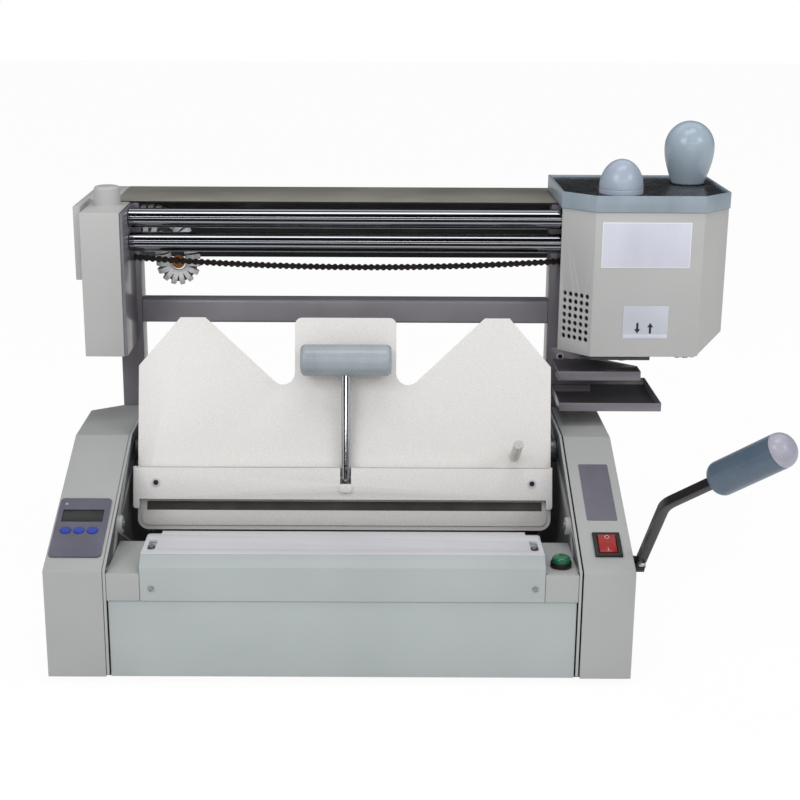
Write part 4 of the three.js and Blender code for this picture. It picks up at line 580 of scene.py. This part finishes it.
sheet_rows = [
    ("rear_cover", cover_grey, 0.6),
    ("lower_front_panel", panel_grey, 0.6),
    ("deck", cover_grey, 0.6),
    ("nip_housing", panel_grey, 0.5),
    ("nip_plate", nip_white, 0.5),
    ("base_pan", pan_dark, 0.5),
    ("left_post", frame_enamel, 1.0),
    ("right_post", frame_enamel, 1.0),
    ("crossbar", crossbar_enamel, 0.6),
    ("beam", beam_enamel, 0.6),
    ("left_rod_plate", frame_enamel, 0.4),
    ("tray_bracket", tray_enamel, 0.4),
    ("drip_tray", tray_enamel, 0.4),
    ("beam_end_cover", carriage_grey, 1.0),
    ("book_plate", clamp_white, 0.6),
    ("clamp_jaw", clamp_white, 0.5),
    ("left_clamp_arm", cast_metal, 0.4),
    ("right_clamp_arm", cast_metal, 0.4),
    ("carriage_housing", carriage_grey, 0.5),
    ("carriage_lid", lid_blue, 0.7),
    ("slide_frame", cast_metal, 0.6),
    ("glue_pot", pan_dark, 0.6),
    ("power_inlet", black_grained, 0.5),
    ("power_switch_bezel", black_grained, 0.4),
    ("power_switch_rocker", rocker_red, 0.5),
    ("lever_hub", black_grained, 0.6),
]
ease_all(sheet_rows)
ease_all([("left_side_cover", cover_grey, 1.0), ("right_side_cover", cover_grey, 1.0)], sharp=12)
for node in ("left_cheek_plate", "right_cheek_plate"):
    cheek = eased(node, cover_grey, 0.4)
    # The broad inner faces take painted shade: a dark finish that stands for the shade in the well
    cheek.data.materials.append(cheek_painted_shade)
    broad = [f for f in cheek.data.polygons if abs(f.normal.x) > 0.95 and f.area > 0.00025]
    for face in broad:
        face.material_index = 1
    print(cheek.name, len(broad), "dark faces")

# %% [markdown]
# ## Turned pieces
# Knobs, grips, rods, pins and buttons come off a lathe or out of a round mould, so each is an outline spun round its
# own axis. The outline is a list of radius and height in millimetres. A full spin with merged ends closes the skin,
# and merging doubles closes the two poles. The matrix then carries the piece to its place on the machine.

# %% Spin an outline into a turned piece
def lathe(name, profile, place, finish, node=None, steps=64, body=None, crease=35):
    """A piece turned from its profile of (radius, height), in millimetres."""
    shape = bmesh.new()
    points = [shape.verts.new((radius / 1000, 0, height / 1000)) for radius, height in profile]
    edges = [shape.edges.new(pair) for pair in zip(points, points[1:])]
    bmesh.ops.spin(shape, geom=points + edges, cent=(0, 0, 0), axis=(0, 0, 1), dvec=(0, 0, 0), angle=2 * math.pi,
                   steps=steps, use_merge=True)
    bmesh.ops.remove_doubles(shape, verts=shape.verts, dist=2e-6)
    bmesh.ops.recalc_face_normals(shape, faces=shape.faces)
    bmesh.ops.transform(shape, matrix=place, verts=shape.verts)
    return finished(name, shape, finish, node=node, body=body, crease=crease)


def rounded(radius, height, curve, steps=8):
    """The outline of a rounded outer corner, from the wall to the flat end."""
    turn = [math.pi / 2 * step / steps for step in range(steps + 1)]
    return [(radius - curve + curve * math.cos(a), height - curve + curve * math.sin(a)) for a in turn]


def dome_line(radius, base, rise, steps, first=0):
    """A quarter of an ellipse, from its widest place up to just below its top, in millimetres."""
    turn = [math.pi / 2 * step / steps for step in range(first, steps)]
    return [(radius * math.cos(a), base + rise * math.sin(a)) for a in turn]


def along_x(x, y, z):
    """A place whose axis points to the operator's right."""
    return Matrix.Translation(spot(x, y, z)) @ Matrix.Rotation(math.pi / 2, 4, "Y")


clamp_lean = 17
cover_slope = 21.4777
lever_lean = 44
clamp_place = Matrix.Translation(spot(0, 203, 157)) @ Matrix.Rotation(math.radians(-clamp_lean), 4, "X")
slope_place = Matrix.Translation(spot(0, 0, 105.3)) @ Matrix.Rotation(math.radians(cover_slope), 4, "X")
lever_place = Matrix.Translation(spot(0, 43, 97.2)) @ Matrix.Rotation(math.radians(lever_lean), 4, "X")
lid_deck = (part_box("push_knob")[0][2] - corner.z) * 1000 - 0.3
print("lid's sunk top stands", round(lid_deck, 1), "mm over the base")

# %% [markdown]
# ## Knobs on the carriage
# The push knob is egg-shaped and widest above its middle, so its outline is a sine up to the widest point and an
# ellipse above. The filler's cap is a dome with a separate collar: a narrow groove parts them.

# %% Turn the push knob and the filler's cap
egg = [(0, 0.3), (15.4, 0.3), (16.6, 1.2)]
egg += [(16.6 + 9.2 * math.sin(math.pi / 2 * s / 20), 1.2 + 37.1 * s / 20) for s in range(1, 21)]
egg += dome_line(25.8, 38.3, 27.7, 20, first=1) + [(0, 66)]
push_knob = lathe("push_knob_turned", egg, Matrix.Translation(spot(361, 322, lid_deck)), knob_blue, "push_knob", 72)
seat_ring = lathe(
    "push_knob_seat", [(0, 0.05), (18.4, 0.05), (18.4, 1.0), (17.6, 1.6), (0, 1.6)],
    Matrix.Translation(spot(361, 322, lid_deck)), black_grained, body="carriage",
)
cap = [(0, -6), (15, -6), (15, 0.3), (21.6, 0.3), (22.3, 0.9), (22.3, 5.4), (22.1, 5.8), (21.9, 6.0), (22.0, 6.3)]
cap += dome_line(22.2, 6.4, 28.6, 22) + [(0, 35)]
filler_cap = lathe(
    "filler_cap_turned", cap, Matrix.Translation(spot(279.7, 250, lid_deck)), cap_blue, "filler_cap", 72
)
print("turned:", push_knob.name, seat_ring.name, filler_cap.name)

# %% [markdown]
# ## Rods
# Two chromed rods carry the carriage. Each end has a small chamfer, as ground bar stock has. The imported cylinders
# have flat facets, which a mirror finish would show, so the rods are spun again in many more steps.

# %% Turn the two rods
rod_low, rod_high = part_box("upper_rod")
rod_length = (rod_high[0] - rod_low[0]) * 1000
rod_profile = [(0, 0), (9.2, 0), (10, 0.8), (10, rod_length - 0.8), (9.2, rod_length), (0, rod_length)]
for node in ("upper_rod", "lower_rod"):
    low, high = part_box(node)
    middle = Vector((low[0], (low[1] + high[1]) / 2, (low[2] + high[2]) / 2))
    rod = lathe(node + "_turned", rod_profile, Matrix.Translation(middle) @ Matrix.Rotation(math.pi / 2, 4, "Y"),
                rod_chrome, node, 96)
    print(rod.name, round(rod_length, 1), "mm long")

# %% [markdown]
# ## Tee handle and stop pin
# The clamp is moved by a chromed stem with a grip across its top. The grip is a straight cylinder with rounded ends,
# moulded round a steel core. Both stand in the clamp's own frame, which leans back by 17 degrees.

# %% Turn the tee handle and the stop pin
stem_tilt = Matrix.Rotation(math.radians(5.59), 4, "X")
stem = [(0, -3.8), (3.0, -3.6), (4.7, -1.2), (4.7, 109.6), (0, 109.6)]
stem_place = clamp_place @ Matrix.Translation((0.0032, -0.039, -0.028)) @ stem_tilt
tee_stem = lathe("tee_stem_turned", stem, stem_place, handle_chrome, "tee_stem", 48)
pin = [(0, -7.4), (2.2, -7.4), (2.2, 7.4), (0, 7.4)]
stem_pin = lathe("tee_stem_pin", pin, stem_place @ Matrix.Rotation(math.pi / 2, 4, "Y"), turned_steel,
                 body="tee_handle", steps=24)
half_grip = rounded(15.8, 45.25, 5.2, 10)
grip = [(0, -45.25)] + [(r, -h) for r, h in reversed(half_grip)] + half_grip + [(0, 45.25)]
grip_place = clamp_place @ Matrix.Translation((0.0032, -0.0505, 0.0895)) @ stem_tilt
tee_grip = lathe("tee_grip_turned", grip, grip_place @ Matrix.Rotation(math.pi / 2, 4, "Y"), grip_grey, "tee_grip", 72)
pin_place = clamp_place @ Matrix.Translation((0.1725, -0.03465, -0.006)) @ Matrix.Rotation(math.radians(74), 4, "X")
stop = [(0, 0), (4.9, 0), (4.9, 39), (4.3, 39.6), (4.3, 40.8), (4.9, 41.4)] + rounded(4.9, 46, 1.2, 5) + [(0, 46)]
stop_pin = lathe("stop_pin_turned", stop, pin_place, pin_steel, "stop_pin", 40)
print("turned:", tee_stem.name, stem_pin.name, tee_grip.name, stop_pin.name)

# %% [markdown]
# ## Hand lever
# The lever is a bent square bar under dark enamel, with a moulded grip on its end. Its outer end carries a paler
# domed cap, so the grip is made as two pieces that share one outline.

# %% Turn the lever's grip
grip_length = math.hypot(49.8, 65.1)
grip_turn = Matrix.Rotation(math.pi / 2 - math.atan2(65.1, 49.8), 4, "Y")
lever_grip_place = lever_place @ Matrix.Translation((0.3163, 0, 0.1709)) @ grip_turn
foot_round = [(r, -h) for r, h in reversed(rounded(15.2, 0, 9, 12))]
sleeve = [(0, 0)] + foot_round + [(15.2, grip_length - 12.4), (0, grip_length - 12.4)]
lever_grip = lathe("lever_grip_turned", sleeve, lever_grip_place, grip_slate, "lever_grip", 72)
crown = [(0, grip_length - 12.3), (14.9, grip_length - 12.3), (15.1, grip_length - 12.1)]
crown += rounded(15.2, grip_length, 12, 14)[1:] + [(0, grip_length)]
lever_crown = lathe("lever_grip_crown", crown, lever_grip_place, crown_lilac, body="nip_lever", steps=72)
lever_arm = eased("lever_arm", arm_enamel, 1.4, segments=3)
screw_profile = [(0, 0), (3.4, 0), (3.4, 2.6), (2.6, 3.4), (0, 3.4)]
lever_screw = lathe(
    "lever_arm_screw", screw_profile,
    lever_place @ Matrix.Translation((0.2799, -0.004, 0.013)) @ Matrix.Rotation(math.pi / 2, 4, "X"),
    handle_chrome, body="nip_lever", steps=24,
)
print("lever:", lever_grip.name, lever_crown.name, lever_arm.name, lever_screw.name)

# %% [markdown]
# ## Start button
# A green domed cap sits in a black ring on the deck. The cap has a shallow dish of light in its middle because its
# top is a low dome, so the outline ends in an arc and not in a flat.

# %% Turn the start button
ring_low = (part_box("start_button_body")[0][2] - corner.z) * 1000
button_barrel = 22
button_foot = ring_low + button_barrel
button_place = Matrix.Translation(spot(204, 22, button_foot))
ring = [(0, -button_barrel), (7.5, -button_barrel), (7.5, 0), (9.4, 0), (9.8, 0.4), (9.8, 4.2), (9.4, 5.1), (8.9, 5.4)]
ring += [(8.7, 5.2), (8.7, 1.5), (0, 1.5)]
button_ring = lathe("start_button_ring", ring, button_place, black_grained, "start_button_body", 56)
cap = [(0, 4.8), (8.5, 4.8), (8.5, 7.4)] + dome_line(8.5, 7.4, 3.9, 14, first=1) + [(0, 11.3)]
button_cap = lathe("start_button_dome", cap, button_place, button_green, "start_button_cap", 56)
print("button:", button_ring.name, button_cap.name)

# %% [markdown]
# ## Parts that keep their drawn shape
# The end box, the roller, the sprocket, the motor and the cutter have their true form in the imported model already.
# They only need their edges broken.

# %% Break the edges of the machined parts
machined_rows = [
    ("left_end_box", carriage_grey, 1.1),
    ("glue_roller", turned_steel, 0.4),
    ("drive_sprocket", turned_steel, 0.2),
    ("milling_motor", turned_steel, 0.8),
    ("milling_cutter", turned_steel, 0.3),
]
ease_all(machined_rows)

# %% [markdown]
# ## Drive chain
# A roller chain pulls the carriage along. Two kinds of link alternate: an outer pair of plates, and an inner pair with
# a roller at each pin. A link is built from cones for eyes and rollers and a cube for each waist, and has few faces,
# because nearly a hundred of them hang in a row.

# %% Model one link of each kind
chain_low, chain_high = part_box("drive_chain")
chain_start = (chain_low[0] - corner.x) * 1000
chain_links = 95
chain_step = (chain_high[0] - chain_low[0]) * 1000 / chain_links


def add_link(shape, middle, slope, outer):
    """Adds one link to a bmesh: two plates, and two rollers on an inner link."""
    added = []
    flat = Matrix.Rotation(math.pi / 2, 3, "X")
    reach = 2.6 if outer else 1.7
    for side in (-reach, reach):
        for pin_x in (-chain_step / 2, chain_step / 2):
            eye = bmesh.ops.create_cone(shape, cap_ends=True, segments=10, radius1=0.003, radius2=0.003, depth=0.0007)
            bmesh.ops.rotate(shape, cent=(0, 0, 0), matrix=flat, verts=eye["verts"])
            bmesh.ops.translate(shape, vec=(pin_x / 1000, side / 1000, 0), verts=eye["verts"])
            added += eye["verts"]
        waist = bmesh.ops.create_cube(shape, size=1)
        bmesh.ops.scale(shape, vec=(chain_step / 1000, 0.00066, 0.0034), verts=waist["verts"])
        bmesh.ops.translate(shape, vec=(0, side / 1000, 0), verts=waist["verts"])
        added += waist["verts"]
    if not outer:
        for pin_x in (-chain_step / 2, chain_step / 2):
            roll = bmesh.ops.create_cone(
                shape, cap_ends=False, segments=8, radius1=0.0019, radius2=0.0019, depth=0.003
            )
            bmesh.ops.rotate(shape, cent=(0, 0, 0), matrix=flat, verts=roll["verts"])
            bmesh.ops.translate(shape, vec=(pin_x / 1000, 0, 0), verts=roll["verts"])
            added += roll["verts"]
    bmesh.ops.transform(shape, matrix=Matrix.Translation(middle) @ Matrix.Rotation(-slope, 4, "Y"), verts=added)


print("pitch of the chain:", round(chain_step, 3), "mm")

# %% [markdown]
# ## Hanging the chain
# The chain hangs from the left plate to where the sprocket lifts it and sags about a centimetre between. A parabola is
# close enough to the true curve at so small a sag. Each link is set on the line between its two pins.

# %% Hang the chain
chain_y, chain_height, chain_sag, chain_span = 287, 340, 9.6, 477


def chain_line(x):
    """Height of the chain over the base at a place along it."""
    share = min((x - chain_start) / chain_span, 1)
    return chain_height - chain_sag * 4 * share * (1 - share)


chain = bmesh.new()
for link in range(chain_links):
    near, far = chain_start + link * chain_step, chain_start + (link + 1) * chain_step
    near_z, far_z = chain_line(near), chain_line(far)
    rise = math.atan2(far_z - near_z, far - near)
    add_link(chain, spot((near + far) / 2, chain_y, (near_z + far_z) / 2), rise, link % 2 == 0)
drive_chain = finished("drive_chain_links", chain, chain_steel, node="drive_chain", crease=30)
print(drive_chain.name, chain_links, "links,", len(drive_chain.data.polygons), "faces")

# %% [markdown]
# ## Wire harness
# The carriage's wires leave the left post, make one loop and go back in. They are a bundle of five thin wires inside
# a white spiral wrap. First comes the line that all of it follows: two bends and half a circle, joined without a kink,
# and a helper that tells the place and the direction at any distance along it.

# %% The harness's line
from mathutils.geometry import interpolate_bezier

post_side, harness_y = -214.2, 311
upper_run, lower_run = 385, 363
run_end = post_side + 4
loop_x, loop_z, loop_radius = -177, 330, 15.5
upper_pull = (loop_x + loop_radius - run_end) * 0.6
lower_pull = (loop_x - loop_radius - run_end) * 0.6


def bend(*points):
    """Points along a bend, from its two ends and two handles, in millimetres."""
    corners = [spot(x, harness_y, z) for x, z in points]
    return interpolate_bezier(*corners, 40)


harness_line = [spot(post_side, harness_y, upper_run)]
harness_line += bend((run_end, upper_run), (run_end + upper_pull, upper_run),
                     (loop_x + loop_radius, loop_z + upper_pull), (loop_x + loop_radius, loop_z))
for step in range(1, 30):
    turn = math.pi * step / 30
    harness_line.append(spot(loop_x + loop_radius * math.cos(turn), harness_y, loop_z - loop_radius * math.sin(turn)))
harness_line += bend((loop_x - loop_radius, loop_z), (loop_x - loop_radius, lower_run - lower_pull),
                     (run_end + lower_pull, lower_run), (run_end, lower_run))
harness_line += [spot(post_side, harness_y, lower_run)]
reach = [0.0]
for first, second in zip(harness_line, harness_line[1:]):
    reach.append(reach[-1] + (second - first).length)
print("harness line:", len(harness_line), "points,", round(reach[-1] * 1000), "mm")


def harness_place(distance):
    """Where the harness is at a distance along it: a matrix whose Z axis runs along the line."""
    index = 1
    while index < len(reach) - 1 and reach[index] < distance:
        index += 1
    share = (distance - reach[index - 1]) / (reach[index] - reach[index - 1])
    point = harness_line[index - 1].lerp(harness_line[index], share)
    before, after = harness_line[max(index - 2, 0)], harness_line[min(index + 1, len(harness_line) - 1)]
    ahead = (after - before).normalized()
    across = Vector((0, 1, 0))
    turn = Matrix((across.cross(ahead), across, ahead)).transposed().to_4x4()
    return Matrix.Translation(point) @ turn


print("the line's middle is at", [round(value, 3) for value in harness_place(reach[-1] / 2).translation])

# %% [markdown]
# ## Wires in the harness
# The five wires twist slowly round each other. Each is a curve with a round bevel and closed ends, turned into a mesh,
# because a curve keeps its thickness round every bend, which an extruded circle would not.

# %% Lay the five wires
wire_finishes = (wire_black, wire_orange, wire_grey, wire_black, wire_orange)
for index, finish in enumerate(wire_finishes):
    data = bpy.data.curves.new("wire_line", "CURVE")
    data.dimensions = "3D"
    data.bevel_depth = 0.00175
    data.bevel_resolution = 3
    data.use_fill_caps = True
    spline = data.splines.new("POLY")
    steps = 120
    spline.points.add(steps)
    for step in range(steps + 1):
        distance = reach[-1] * step / steps
        turn = math.radians(72 * index) + distance * 22
        offset = Vector((3.1 * math.cos(turn), 3.1 * math.sin(turn), 0)) / 1000
        spline.points[step].co = (*(harness_place(distance) @ offset), 1)
    line = bpy.data.objects.new("wire_line", data)
    home.objects.link(line)
    bpy.context.view_layer.update()
    wire = bmesh.new()
    wire.from_mesh(bpy.data.meshes.new_from_object(line.evaluated_get(bpy.context.evaluated_depsgraph_get())))
    bpy.data.objects.remove(line)
    bmesh.ops.remove_doubles(wire, verts=wire.verts, dist=1e-6)
    bmesh.ops.recalc_face_normals(wire, faces=wire.faces)
    finished(f"harness_wire_{index + 1}", wire, finish, body="base")
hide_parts("cable_core")

# %% [markdown]
# ## Spiral wrap
# The wrap is a row of short sleeves set at the spiral's slant, which is how a tight wrap looks: the dark gaps between
# its turns stay open. Sleeves are chosen over one long spiral because each is a closed ring with clean ends. The
# loop's middle is filled by a flat bundle of orange wires.

# %% Wind the spiral wrap
wrap = bmesh.new()
wrap_turns = 26
wrap_pitch = reach[-1] / wrap_turns
for turn in range(wrap_turns):
    half_band = wrap_pitch * 0.4
    corners = [(0.0070, -half_band), (0.0082, -half_band + 0.0003), (0.0082, half_band - 0.0003), (0.0070, half_band)]
    points = [wrap.verts.new((radius, 0, height)) for radius, height in corners]
    edges = [wrap.edges.new(pair) for pair in zip(points, points[1:] + points[:1])]
    bmesh.ops.spin(wrap, geom=points + edges, cent=(0, 0, 0), axis=(0, 0, 1), dvec=(0, 0, 0),
                   angle=2 * math.pi, steps=28, use_merge=True)
    sleeve = {v for e in edges for v in e.verts}
    todo = list(sleeve)
    while todo:
        for edge in todo.pop().link_edges:
            for vertex in edge.verts:
                if vertex not in sleeve:
                    sleeve.add(vertex)
                    todo.append(vertex)
    slant = Matrix.Rotation(math.radians(7), 4, "X")
    place = harness_place((turn + 0.5) * wrap_pitch) @ slant
    bmesh.ops.transform(wrap, matrix=place, verts=list(sleeve))
bmesh.ops.remove_doubles(wrap, verts=wrap.verts, dist=1e-6)
bmesh.ops.recalc_face_normals(wrap, faces=wrap.faces)
spiral_wrap = finished("spiral_wrap_turns", wrap, wrap_white, node="cable_wrap", crease=40)
bundle_place = Matrix.Translation(spot(loop_x, harness_y, loop_z + 1)) @ Matrix.Rotation(math.pi / 2, 4, "X")
bundle = lathe("harness_wire_bundle", [(0, -3), (6.2, -3), (7.0, -2.2), (7.0, 2.2), (6.2, 3), (0, 3)], bundle_place,
               wire_orange, body="base", steps=32)
print("wrap:", spiral_wrap.name, "with", wrap_turns, "turns,", bundle.name)

# %% [markdown]
# ## Control panel
# The panel is a smooth film on a thin plate, with a window for the display and three oval keys. The window is glossy
# and nearly black with a hint of green, because its display is off. These solids have their true outline already, so
# they are eased as the sheets are.

# %% Control panel, display and keys
panel_rows = [("control_panel", panel_film, 0.4), ("lcd_display", display_glass, 0.15)]
panel_rows += [(node, key_blue, 0.55) for node in ("key_down", "key_set", "key_up")]
ease_all(panel_rows, segments=3)

# %% [markdown]
# ## Plates and labels
# The base has a bare nameplate, and the carriage a bare label and a small sign. Each is thin and flat with rounded
# corners, so it is a grid whose corners are bevelled, which is then raised and given an eased rim. The power light
# beside the display is a small turned lens.

# %% Lay the plates
def thicken(shape, thickness):
    """Raises every face of a flat shape by a thickness in metres, which closes it into a slab."""
    raised = bmesh.ops.extrude_face_region(shape, geom=shape.faces[:])
    top = [v for v in raised["geom"] if isinstance(v, bmesh.types.BMVert)]
    bmesh.ops.translate(shape, vec=(0, 0, thickness), verts=top)
    bmesh.ops.recalc_face_normals(shape, faces=shape.faces)


def flat_plate(name, place, x_range, y_range, thickness, round_corner, finish, body, edge=0.12):
    """A thin plate with round corners that lies on the XY plane of its place, in millimetres."""
    shape = bmesh.new()
    bmesh.ops.create_grid(shape, x_segments=1, y_segments=1, size=0.5)
    wide, high = (x_range[1] - x_range[0]) / 1000, (y_range[1] - y_range[0]) / 1000
    bmesh.ops.scale(shape, vec=(wide, high, 1), verts=shape.verts)
    if round_corner:
        bmesh.ops.bevel(shape, geom=shape.verts[:], offset=round_corner / 1000, offset_type="OFFSET", segments=5,
                        profile=0.5, affect="VERTICES", clamp_overlap=True, material=-1)
    thicken(shape, thickness / 1000)
    rim = [e for e in shape.edges if all(v.co.z > thickness / 2000 for v in e.verts)]
    bmesh.ops.bevel(shape, geom=rim, offset=edge / 1000, offset_type="OFFSET", segments=2, profile=0.5,
                    affect="EDGES", clamp_overlap=True, material=-1)
    middle = Vector(((x_range[0] + x_range[1]) / 2, (y_range[0] + y_range[1]) / 2, 0)) / 1000
    bmesh.ops.transform(shape, matrix=place @ Matrix.Translation(middle), verts=shape.verts)
    return finished(name, shape, finish, body=body, crease=40)


def facing_front(x, y, z):
    """A place on a front face: X to the right, Y up, Z towards the operator."""
    return Matrix.Translation(spot(x, y, z)) @ Matrix.Rotation(math.pi / 2, 4, "X")


housing_front = 219.5
label_front = housing_front + 0.4
nameplate = flat_plate("bare_nameplate", slope_place, (233, 261.6), (71.5, 153.6), 0.5, 1.2, plate_purple, "base")
label = flat_plate("bare_carriage_label", facing_front(0, label_front, 0), (258.4, 347.6), (343.8, 390), 0.4, 0.8,
                   label_rim, "carriage")
label_face = flat_plate("bare_carriage_label_face", facing_front(0, housing_front, 0), (259.6, 346.4), (345, 388.8),
                        0.15, 0.6, label_pale, "carriage", edge=0.05)
sign = flat_plate("direction_sign", facing_front(0, label_front, 0), (283, 329), (271, 305), 0.4, 0.8, sign_grey,
                  "carriage")
# A pale strip along the sign's lower edge is a painted highlight
sign_highlight_strip = flat_plate("direction_sign_painted_highlight", facing_front(0, housing_front, 0), (283.8, 328.2), (271.8, 275.4),
                        0.15, 0.3, label_pale, "carriage", edge=0.05)
lamp_place = slope_place @ Matrix.Translation((-0.2613, 0.0895, 0.0019))
power_light = lathe("power_light", [(0, 0), (1.5, 0), (1.5, 0.4), (1.2, 0.9), (0.7, 1.2), (0, 1.3)], lamp_place,
                    light_lens, body="base", steps=24)
print("plates:", nameplate.name, label.name, label_face.name, sign.name, sign_highlight_strip.name, power_light.name)

# %% [markdown]
# ## Arrows and switch marks
# The sign carries two plain arrows, one down and one up. Each is an outline of seven corners given a little
# thickness, because a drawn image would blur at this size. The rocker carries the usual ring for off and bar for on.

# %% Arrows and marks
def arrow(name, x, z, up):
    """A plain arrow on the carriage's sign, 11 mm tall."""
    shape = bmesh.new()
    outline = [(-1.1, -5.5), (1.1, -5.5), (1.1, 1), (3.1, 1), (0, 5.5), (-3.1, 1), (-1.1, 1)]
    shape.faces.new([shape.verts.new((px / 1000, (py if up else -py) / 1000, 0)) for px, py in outline])
    thicken(shape, 0.00012)
    bmesh.ops.transform(shape, matrix=facing_front(x, housing_front - 0.05, z), verts=shape.verts)
    return finished(name, shape, ink_dark, body="carriage")


arrow_down = arrow("arrow_down", 298, 282, False)
arrow_up = arrow("arrow_up", 311, 282, True)
rocker_axis = slope_place @ Matrix.Translation((0.2478, 0.037, 0.0023))
off_ring = lathe(
    "rocker_off_ring", [(1.5, 0), (2.1, 0), (2.1, 0.15), (1.5, 0.15), (1.5, 0)],
    rocker_axis @ Matrix.Rotation(math.radians(11.8), 4, "X") @ Matrix.Translation((0, 0.0075, 0.0001)),
    mark_white, body="rocker", steps=32,
)
on_bar = flat_plate("rocker_on_bar", rocker_axis @ Matrix.Translation((0, 0, 0.0001)), (-0.35, 0.35), (-9.2, -5.4),
                    0.15, 0, mark_white, "rocker", edge=0.04)
print("marks:", arrow_down.name, arrow_up.name, off_ring.name, on_bar.name)

# %% [markdown]
# ## Behind the vents
# The vent grid opens onto the dark inside of the carriage. A thin black sheet set two millimetres behind the
# slanted wall is painted shade: it makes every hole read black, whatever the light.

# %% Painted shade sheet behind the vents
vent_place = Matrix.Translation(spot(236.5, 235, 0)) @ Matrix.Rotation(math.radians(-45), 4, "Z")
vent_place = vent_place @ Matrix.Translation((0, 0.0021, 0)) @ Matrix.Rotation(math.pi / 2, 4, "X")
# A black sheet of painted shade behind the holes
vent_shade_sheet = flat_plate("vent_painted_shade", vent_place, (-16.5, 16.5), (262, 319), -0.3, 0, black_grained, "carriage",
                        edge=0.02)
print(vent_shade_sheet.name, "is", round(vent_shade_sheet.dimensions.z * 1000), "mm high")

# %% [markdown]
# ## Screws and bolts
# Small fasteners tell how the machine goes together: two in the front, one through each ear of the nip plate, three
# in the tray's bracket, two in the jaw and one in each cheek's boss. All are one outline with a round socket in it,
# turned at different sizes.

# %% Place the fasteners
def screw(name, place, radius, height, finish, body, ring=None):
    """A socket screw, with its washer if a ring finish is given."""
    head = [(0, height * 0.8), (radius * 0.4, height * 0.8), (radius * 0.46, height)]
    head += [(radius * 0.82, height), (radius, height * 0.75), (radius, 0), (0, 0)]
    made = [lathe(name, head, place, finish, body=body, steps=28)]
    if ring:
        washer = [(0, 0), (radius * 1.7, 0), (radius * 1.7, 0.6), (radius * 1.6, 0.8), (0, 0.8)]
        made.append(lathe(name + "_washer", washer, place, ring, body=body, steps=28))
    return made


front_face = (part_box("nip_housing")[0][1] - corner.y) * 1000
for side, x, z in (("left", -172, 88.3), ("right", 178.7, 89.3)):
    screw(f"front_screw_{side}", facing_front(x, front_face, z), 2.6, 1.4, turned_steel, "base")
ear_top = (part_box("nip_plate")[1][2] - corner.z) * 1000
for side, x in (("left", -174.3), ("right", 179.9)):
    screw(f"nip_ear_screw_{side}", Matrix.Translation(spot(x, 33, ear_top - 2.7)), 3.2, 2.6, turned_steel, "base")
for row, z in enumerate((234, 214, 196)):
    screw(f"bracket_screw_{row + 1}", facing_front(230, 290.7, z), 2.4, 1.6, black_grained, "base", nip_white)
for side, x in (("left", -186), ("right", 189)):
    place = clamp_place @ Matrix.Translation((x / 1000, -0.044, -0.033)) @ Matrix.Rotation(math.pi / 2, 4, "X")
    screw(f"jaw_screw_{side}", place, 2.6, 1.5, black_grained, "jaw", nip_white)
left_boss = (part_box("left_cheek_plate")[1][0] - corner.x) * 1000
right_boss = (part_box("right_cheek_plate")[0][0] - corner.x) * 1000
screw("left_cheek_bolt", along_x(left_boss, 78, 121.5), 4.4, 1.6, turned_steel, "base")
turned_back = Matrix.Rotation(math.pi, 4, "Y")
screw("right_cheek_bolt", along_x(right_boss, 78, 121.5) @ turned_back, 4.4, 1.6, turned_steel, "base")
print("fasteners placed; bosses end at", round(left_boss, 1), "and", round(right_boss, 1))

# %% [markdown]
# ## Lid's sunk top
# Inside its rim the lid is covered by a glossy dark sheet. The faces of the lid that lie at that height already have
# its outline, with the hole under the filler's cap, so they are copied and given a little thickness.

# %% Lay the dark sheet in the lid
top_sheet = merged_copy("carriage_lid")
deck_z = spot(0, 0, lid_deck).z
other = [f for f in top_sheet.faces if f.normal.z < 0.9 or abs(f.calc_center_median().z - deck_z) > 0.0006]
bmesh.ops.delete(top_sheet, geom=other, context="FACES")
thicken(top_sheet, 0.0002)
lid_sheet = finished("lid_top_sheet", top_sheet, lid_film, body="carriage")
print(lid_sheet.name, len(lid_sheet.data.polygons), "faces")

# %% [markdown]
# ## Rubber and painted shadow on the clamp
# A dark knurled rubber strip on the book plate just under the jaw is also painted shadow of the jaw, and a thin grey
# line along the jaw's upper edge is painted shadow at its seam. Both are narrow flat pieces in the clamp's frame,
# facing the operator.

# %% Strip under the jaw with its painted shadow, and the painted shadow line along the jaw
clamp_front = clamp_place @ Matrix.Rotation(math.pi / 2, 4, "X")
# Rubber strip under the jaw, darkened as painted shadow of the jaw
grip_strip = flat_plate("book_plate_grip_strip_and_shadow", clamp_front @ Matrix.Translation((0, 0, 0.0331)), (-196, 200),
                        (-61, -52), 0.5, 0.5, strip_rubber_and_shadow, "clamp")
# A thin grey line of painted shadow along the jaw's upper seam
jaw_seam_shadow_line = flat_plate("jaw_edge_painted_shadow", clamp_front @ Matrix.Translation((0, 0, 0.04401)), (-206, 207), (-17.9, -17.3),
                    0.08, 0, seam_painted_shadow, "jaw", edge=0.02)
print("clamp seams:", grip_strip.name, jaw_seam_shadow_line.name)

# %% [markdown]
# ## Solids that keep their own shape
# Some solids already have the shape that shows, so they stay and only take a finish. A solid that has been copied or
# rebuilt above is hidden.

# %% Dress the remaining solids
remaining = {"nip_shaft": turned_steel, "roller_belt": foot_rubber}
for row in ("front", "rear"):
    for side in ("left", "right"):
        remaining[f"foot_{row}_{side}"] = foot_rubber
for node, finish in remaining.items():
    solid = frame["nodes"][node]
    solid.data.materials.clear()
    solid.data.materials.append(finish)
print("dressed:", ", ".join(remaining))
